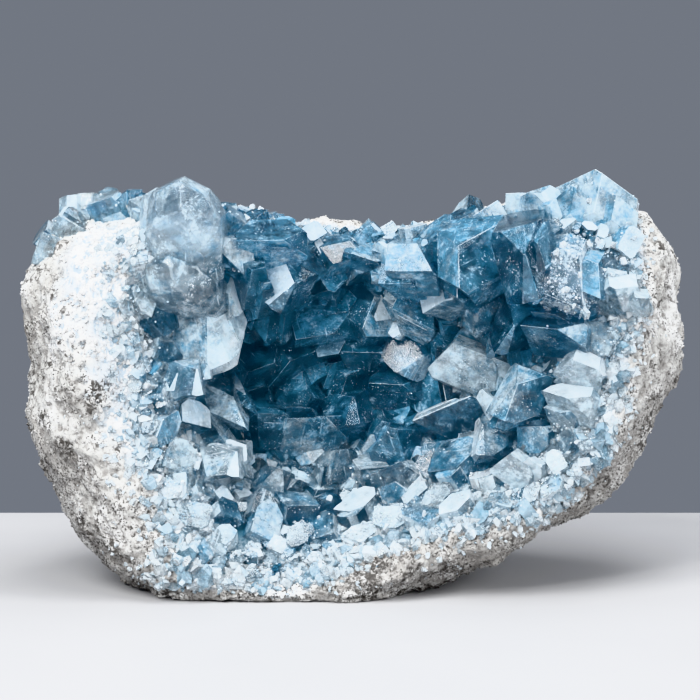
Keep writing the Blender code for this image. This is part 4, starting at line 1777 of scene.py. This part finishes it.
@dataclass
class Surface:
    """A mesh read as triangles, on which places are drawn at random, clear of the floor."""

    source: bpy.types.Object
    lowest: float = 0.6 * MM
    least_area: float = 1e-12

    def __post_init__(self) -> None:
        """Reads the triangles."""
        mesh = self.source.data
        mesh.calc_loop_triangles()
        count = len(mesh.loop_triangles)
        corners = np.empty(count * 3, dtype=int)
        mesh.loop_triangles.foreach_get("vertices", corners)
        self.corners = corners.reshape(-1, 3)
        self.faces = np.empty(count, dtype=int)
        mesh.loop_triangles.foreach_get("polygon_index", self.faces)
        self.spots = read_points(mesh)[self.corners]
        crossed = np.cross(self.spots[:, 1] - self.spots[:, 0], self.spots[:, 2] - self.spots[:, 0])
        self.areas = np.linalg.norm(crossed, axis=1) / 2
        self.normals = crossed / np.maximum(self.areas[:, None] * 2, self.least_area)
        self.middles = self.spots.mean(axis=1)

    def values(self, name: str) -> np.ndarray:
        """Reads a point or face attribute.

        Args:
            name: The attribute.

        Returns:
            One value for each triangle.
        """
        layer = self.source.data.attributes[name]
        stored = np.empty(len(layer.data))
        layer.data.foreach_get("value", stored)
        return stored[self.faces] if layer.domain == "FACE" else stored[self.corners].mean(axis=1)

    def draw(self, weights: np.ndarray, count: int, seed: int) -> tuple[np.ndarray, np.ndarray, np.ndarray]:
        """Draws places, more of them where the weights are larger.

        Args:
            weights: One weight for each triangle.
            count: How many places.
            seed: The seed of the draw.

        Returns:
            The places, the normals there and the triangles' numbers.
        """
        rng = np.random.default_rng(seed)
        chance = self.areas * weights * (self.middles[:, 2] > self.lowest)
        chosen = rng.choice(len(chance), size=count, p=chance / chance.sum())
        first, second = rng.random((2, count))
        over = first + second > 1
        first[over], second[over] = 1 - first[over], 1 - second[over]
        a, b, c = (self.spots[chosen, i] for i in range(3))
        places = a + (b - a) * first[:, None] + (c - a) * second[:, None]
        return places, self.normals[chosen], chosen


def random_turns(count: int, rng: np.random.Generator) -> np.ndarray:
    """Draws rotation matrices.

    Args:
        count: How many.
        rng: The source of the random draws.

    Returns:
        The matrices.
    """
    parts = rng.normal(size=(4, count))
    w, x, y, z = parts / np.linalg.norm(parts, axis=0)
    rows = (
        (1 - 2 * (y * y + z * z), 2 * (x * y - w * z), 2 * (x * z + w * y)),
        (2 * (x * y + w * z), 1 - 2 * (x * x + z * z), 2 * (y * z - w * x)),
        (2 * (x * z - w * y), 2 * (y * z + w * x), 1 - 2 * (x * x + y * y)),
    )
    return np.moveaxis(np.array(rows), 2, 0)


@dataclass
class Grains:
    """Loose grains, each a turned and stretched copy of one of a few cut cubes, in one mesh.

    Small grains are more common than large ones, and none is wider than its height above the floor.
    """

    name: str
    finish: RockFinish | DustFinish
    smallest: float
    largest: float
    seed: int
    sunk: float
    shapes: int = 4
    rareness: int = 3
    floor_share: float = 0.9
    stretch: tuple[float, float] = (0.6, 1.25)

    def shape(self, number: int) -> tuple[np.ndarray, np.ndarray]:
        """Models one grain.

        Args:
            number: The grain's number, which gives the seed of its cut.

        Returns:
            Its points and its triangles.
        """
        mesh = cut_cube(f"{self.name}_shape_{number}", corner_cuts(Random(self.seed + number), 1))
        mesh.calc_loop_triangles()
        triangles = np.empty(len(mesh.loop_triangles) * 3, dtype=int)
        mesh.loop_triangles.foreach_get("vertices", triangles)
        return read_points(mesh), triangles.reshape(-1, 3)

    def build(
        self, places: np.ndarray, normals: np.ndarray, looks: dict[str, np.ndarray]
    ) -> bpy.types.Object:
        """Puts a grain at every place and joins them in one mesh.

        Args:
            places: Where the grains are.
            normals: The way out of the surface there.
            looks: For each face attribute, the value of every grain.

        Returns:
            The joined grains, each with a tint of its own as well.
        """
        rng = np.random.default_rng(self.seed)
        looks = {**looks, "tint": rng.random(len(places))}
        points, triangles, owners = [], [], []
        used = 0
        for number in range(self.shapes):
            corners, faces = self.shape(number)
            chosen = np.arange(number, len(places), self.shapes)
            count = len(chosen)
            width = self.smallest + (self.largest - self.smallest) * rng.random(count) ** self.rareness
            width = np.minimum(width, places[chosen, 2] * self.floor_share)
            sizes = width[:, None] * rng.uniform(*self.stretch, (count, 3))
            turned = np.einsum("nij,nkj->nki", random_turns(count, rng), corners[None] * sizes[:, None])
            centres = places[chosen] + normals[chosen] * (width * (0.5 - self.sunk))[:, None]
            points.append((turned + centres[:, None]).reshape(-1, 3))
            starts = used + np.arange(count) * len(corners)
            triangles.append((faces[None] + starts[:, None, None]).reshape(-1, 3))
            owners.append(np.repeat(chosen, len(faces)))
            used += count * len(corners)
        owner = np.concatenate(owners)
        values = {name: each[owner] for name, each in looks.items()}
        return self.joined(np.concatenate(points), np.concatenate(triangles), values)

    def joined(
        self, points: np.ndarray, triangles: np.ndarray, values: dict[str, np.ndarray]
    ) -> bpy.types.Object:
        """Makes one object of all grains.

        Args:
            points: The points.
            triangles: The triangles.
            values: For each face attribute, the value of every triangle.

        Returns:
            The object.
        """
        mesh = bpy.data.meshes.new(self.name)
        mesh.vertices.add(len(points))
        mesh.vertices.foreach_set("co", points.ravel())
        mesh.loops.add(len(triangles) * 3)
        mesh.loops.foreach_set("vertex_index", triangles.ravel())
        mesh.polygons.add(len(triangles))
        mesh.polygons.foreach_set("loop_start", np.arange(len(triangles)) * 3)
        mesh.update(calc_edges=True)
        for name, each in values.items():
            store(mesh, name, each)
        obj = bpy.data.objects.new(self.name, mesh)
        bpy.context.scene.collection.objects.link(obj)
        dress(obj, self.finish.make())
        return obj


@dataclass
class RimDruse:
    """Tiny crystals that merge the crust into the white rock round it, joined in one piece.

    They get smaller, paler and more frosted outwards, up to the end. Those on the crystals are as
    those that far outwards on the rock.
    """

    rim: Rim
    on_rock_share: float = 0.76
    count: int = 3300
    deepest: float = 0.6
    end: float = 1.6
    outwards_on_crust: float = 0.75
    smallest: float = 1.1 * MM
    largest: float = 5.8 * MM
    width_fall: float = 0.7
    least_width: float = 0.4
    more_width: float = 0.9
    rareness: float = 1.6
    thickness_range: tuple[float, float] = (0.6, 1.0)
    length: float = 1.3
    length_range: tuple[float, float] = (0.8, 1.3)
    lean: float = 0.7
    frost_inside: float = 0.15
    frost_outwards: float = 0.80
    frost_range: tuple[float, float] = (-0.35, 0.30)
    deepest_tint: float = 0.9
    haze: float = 0.45
    sunk: float = 0.42
    lowest: float = 3 * MM
    seed: int = 31
    finish: CelestiteFinish = CelestiteFinish(
        name="druse_crystal", pale=(0.78, 0.85, 0.89), blue=(0.42, 0.58, 0.69), deep=(0.20, 0.38, 0.50),
        clearest=0.80, haziest=0.10, painted_gleam_tint=0.20,
    )

    def places(self, rock: Surface, crust: Surface) -> Iterator[tuple[np.ndarray, np.ndarray, float]]:
        """Draws places on the rock near the crystals and on the frosted crystals.

        Args:
            rock: The surface of the rock.
            crust: The surface of the crust.

        Returns:
            The places, each with the normal there and how far outwards it is, from 0 to 1.
        """
        marks = self.rim.measure(rock.middles)
        reach = self.rim.by_turn(DRUSE_REACH, marks["turn"]) * MM
        weights = np.exp(-((marks["distance"] / reach) ** 2)) * (marks["deep"] < self.deepest)
        on_rock = int(self.count * self.on_rock_share)
        spots, normals, chosen = rock.draw(weights, on_rock, self.seed)
        outwards = np.clip(marks["distance"][chosen] / reach[chosen] / self.end, 0.0, 1.0)
        yield from zip(spots, normals, outwards)
        spots, normals, _ = crust.draw(crust.values("frost") ** 2, self.count - on_rock, self.seed + 1)
        yield from zip(spots, normals, np.full(len(spots), self.outwards_on_crust))

    def crystal(self, rng: Random, place: np.ndarray, normal: np.ndarray, outwards: float) -> Crystal:
        """Draws the size, lean and looks of one crystal.

        Args:
            rng: The source of the random draws.
            place: Where it grows.
            normal: The normal there.
            outwards: How far outwards it is.

        Returns:
            The crystal.
        """
        width = self.largest + (self.smallest - self.largest) * outwards**self.width_fall
        width *= self.least_width + self.more_width * rng.random() ** self.rareness
        thickness = width * rng.uniform(*self.thickness_range)
        size = Vector((width, thickness, width * self.length * rng.uniform(*self.length_range)))
        tip = (Vector(normal) + random_vector(rng, self.lean)).normalized()
        frost = self.frost_inside + self.frost_outwards * outwards + rng.uniform(*self.frost_range)
        tint = rng.uniform(0.0, self.deepest_tint) * (1 - outwards)
        habit, spin = rng.choice(FILL_HABITS), rng.uniform(0, math.pi)
        looks = max(0.0, tint), self.haze, max(0.0, min(1.0, frost)), self.sunk
        return Crystal(Vector(place), size, tip, spin, habit, *looks)

    def build(self, rock: Surface, crust: Surface) -> bpy.types.Object:
        """Grows the druse.

        Args:
            rock: The surface of the rock.
            crust: The surface of the crust.

        Returns:
            The druse.
        """
        shapes = CrystalShapes(seed=23, variants=2, facets=2)
        rng = Random(self.seed)
        bodies = []
        for number, spot in enumerate(self.places(rock, crust)):
            crystal = self.crystal(rng, *spot)
            if crystal.bottom() > self.lowest:
                bodies.append(shapes.place(crystal, number))
        piece = join_union(bodies, "rim_druse")
        dress(piece, self.finish.make())
        return piece


@dataclass
class GrainFields:
    """The grains of the rock, finer and whiter near the crystals, and the dust on frosted faces."""

    rim: Rim
    sugar_count: int = 12000
    sugar_deep: float = 0.5
    sugar_fall: float = 1.5
    rock_count: int = 9500
    rock_reach: float = 60 * MM
    dust_count: int = 7000
    dust_seed: int = 47
    finish: RockFinish = RockFinish("pale_rock_grain", grainy=True)

    def on_rock(self, rock: Surface, weights: np.ndarray, count: int, grains: Grains) -> bpy.types.Object:
        """Puts grains on the rock, each with the marks of the skin where it lies.

        Args:
            rock: The surface of the rock.
            weights: Where the grains lie, as a weight for each triangle.
            count: How many.
            grains: The grains.

        Returns:
            The joined grains.
        """
        places, normals, chosen = rock.draw(weights, count, grains.seed + 1)
        looks = {name: rock.values(name)[chosen] for name in ("near", "low")}
        return grains.build(places, normals, looks)

    def sugar(self, rock: Surface) -> bpy.types.Object:
        """Puts sugar grains near the crystals.

        Args:
            rock: The surface of the rock.

        Returns:
            The joined grains.
        """
        near = rock.values("near") * (rock.values("deep") < self.sugar_deep)
        grains = Grains("sugar_grains", self.finish, smallest=0.3 * MM, largest=1.4 * MM, seed=41, sunk=0.5)
        return self.on_rock(rock, near**self.sugar_fall, self.sugar_count, grains)

    def rock(self, rock: Surface) -> bpy.types.Object:
        """Puts grains on the bare rock.

        Args:
            rock: The surface of the rock.

        Returns:
            The joined grains.
        """
        within = self.rim.measure(rock.middles)["distance"] < self.rock_reach
        grains = Grains("rock_grains", self.finish, smallest=0.3 * MM, largest=1.1 * MM, seed=44, sunk=0.55)
        return self.on_rock(rock, (1.0 - rock.values("near")) * within, self.rock_count, grains)

    def dust(self, crust: Surface) -> bpy.types.Object:
        """Puts white dust on the frosted faces.

        Args:
            crust: The surface of the crust.

        Returns:
            The joined dust.
        """
        places, normals, _ = crust.draw(crust.values("frost") ** 2, self.dust_count, self.dust_seed)
        grains = Grains("facet_dust", DustFinish(), smallest=0.2 * MM, largest=0.7 * MM, seed=48, sunk=0.4)
        return grains.build(places, normals, {})


# Studio


@dataclass(frozen=True)
class Softbox:
    """A soft light: where it stands, its width and height in metres, its power and its colour."""

    name: str
    place: tuple[float, float, float]
    size: tuple[float, float]
    power: float
    colour: Colour = (1.0, 1.0, 1.0)

    def build(self, target: Vector) -> None:
        """Sets up the light.

        Args:
            target: The place that it looks at.
        """
        lamp = bpy.data.lights.new(self.name, "AREA")
        lamp.shape = "RECTANGLE"
        lamp.size, lamp.size_y = self.size
        lamp.energy = self.power
        lamp.color = self.colour
        obj = bpy.data.objects.new(self.name, lamp)
        obj.location = self.place
        obj.rotation_euler = (target - Vector(self.place)).to_track_quat("-Z", "Y").to_euler()
        bpy.context.scene.collection.objects.link(obj)


@dataclass
class Studio:
    """A pale floor that ends behind the geode, soft lights and the camera."""

    floor_behind: float = 0.155
    floor_side: float = 2.2
    floor_noise: Noise = Noise(14, 3, 0.5)
    floor_dark: Colour = (0.40, 0.40, 0.41)
    floor_light: Colour = (0.46, 0.46, 0.47)
    floor_dullness: float = 0.55
    distance: float = 1.05
    elevation: float = 6.0
    target: Vector = field(default_factory=lambda: Vector((-0.0013, 0.0, 0.092)))
    view_width: float = 0.280
    sensor_width: float = 36.0
    background: Colour = (0.205, 0.224, 0.262)
    lights: tuple[Softbox, ...] = (
        Softbox("key", (-0.45, -0.75, 0.95), (0.8, 0.6), 20.0, (1.0, 1.0, 0.99)),
        Softbox("top", (0.15, -0.05, 1.1), (0.9, 0.6), 13.0, (0.98, 0.99, 1.0)),
        Softbox("front", (0.30, -1.9, 0.50), (2.2, 1.3), 23.5),
        Softbox("right", (1.1, -0.30, 0.45), (0.4, 0.7), 9.0),
        Softbox("glint", (-0.55, -0.95, 0.60), (0.10, 0.10), 5.0),
    )

    def floor(self) -> None:
        """Lays the floor, with a matt finish."""
        deselect_all()
        bpy.ops.mesh.primitive_plane_add(size=1.0, location=(0, self.floor_behind - self.floor_side / 2, 0))
        floor = bpy.context.object
        floor.name = "floor"
        floor.scale = (self.floor_side, self.floor_side, 1)
        bpy.ops.object.transform_apply(location=True, rotation=False, scale=True)
        g = Graph("floor")
        colour = g.mix(g.noise(self.floor_noise), self.floor_dark, self.floor_light)
        g.shade(Base_Color=colour, Roughness=self.floor_dullness)
        dress(floor, g.material)

    def camera(self) -> None:
        """Sets up the camera at the photograph's angle."""
        lens = bpy.data.cameras.new("camera")
        lens.sensor_width = self.sensor_width
        lens.lens = self.sensor_width * self.distance / self.view_width
        camera = bpy.data.objects.new("camera", lens)
        tilt = math.radians(self.elevation)
        back = Vector((0, -math.cos(tilt), math.sin(tilt)))
        camera.location = self.target + back * self.distance
        camera.rotation_euler = (-back).to_track_quat("-Z", "Y").to_euler()
        bpy.context.scene.collection.objects.link(camera)
        bpy.context.scene.camera = camera

    def quality(self) -> None:
        """Sets how far light is followed through the crystals."""
        cycles = bpy.context.scene.cycles
        cycles.max_bounces = 12
        cycles.transmission_bounces = 10
        cycles.diffuse_bounces = 3
        cycles.glossy_bounces = 4
        cycles.volume_bounces = 0
        cycles.adaptive_threshold = 0.02
        bpy.context.scene.view_settings.view_transform = "Khronos PBR Neutral"

    def build(self) -> None:
        """Sets up the studio."""
        self.floor()
        for light in self.lights:
            light.build(self.target)
        world = bpy.data.worlds.new("studio")
        bpy.context.scene.world = world
        world.use_nodes = True
        world.node_tree.nodes["Background"].inputs["Color"].default_value = (*self.background, 1.0)
        self.camera()
        self.quality()


def register(piece: bpy.types.Object, slot: str, *nodes: str) -> None:
    """Tells the frame about a piece and reports it.

    Args:
        piece: The piece, which rides on root.
        slot: Its material slot; not used.
        *nodes: The solids that it stands for.
    """
    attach(piece, "root")
    for node in nodes:
        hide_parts(node)
    LOG.info("%s: %d faces", piece.name, len(piece.data.polygons))


def main() -> None:
    """Builds the geode and the studio."""
    logging.basicConfig(level=logging.INFO, format="%(message)s")
    Studio().build()
    nodule = Nodule()
    rim = Rim(nodule)
    skin = RockSkin(rim).build()
    register(skin, "pale_rock", "rock_shell")
    crust = CrystalCrust().build(CrystalPlan(nodule).make())
    register(crust, "celestite", "crystal_crust")
    rock_surface, crust_surface = Surface(skin), Surface(crust)
    register(RimDruse(rim).build(rock_surface, crust_surface), "celestite")
    fields = GrainFields(rim)
    register(fields.sugar(rock_surface), "pale_rock")
    register(fields.rock(rock_surface), "pale_rock")
    register(fields.dust(crust_surface), "celestite")


if __name__ == "__main__":
    main()
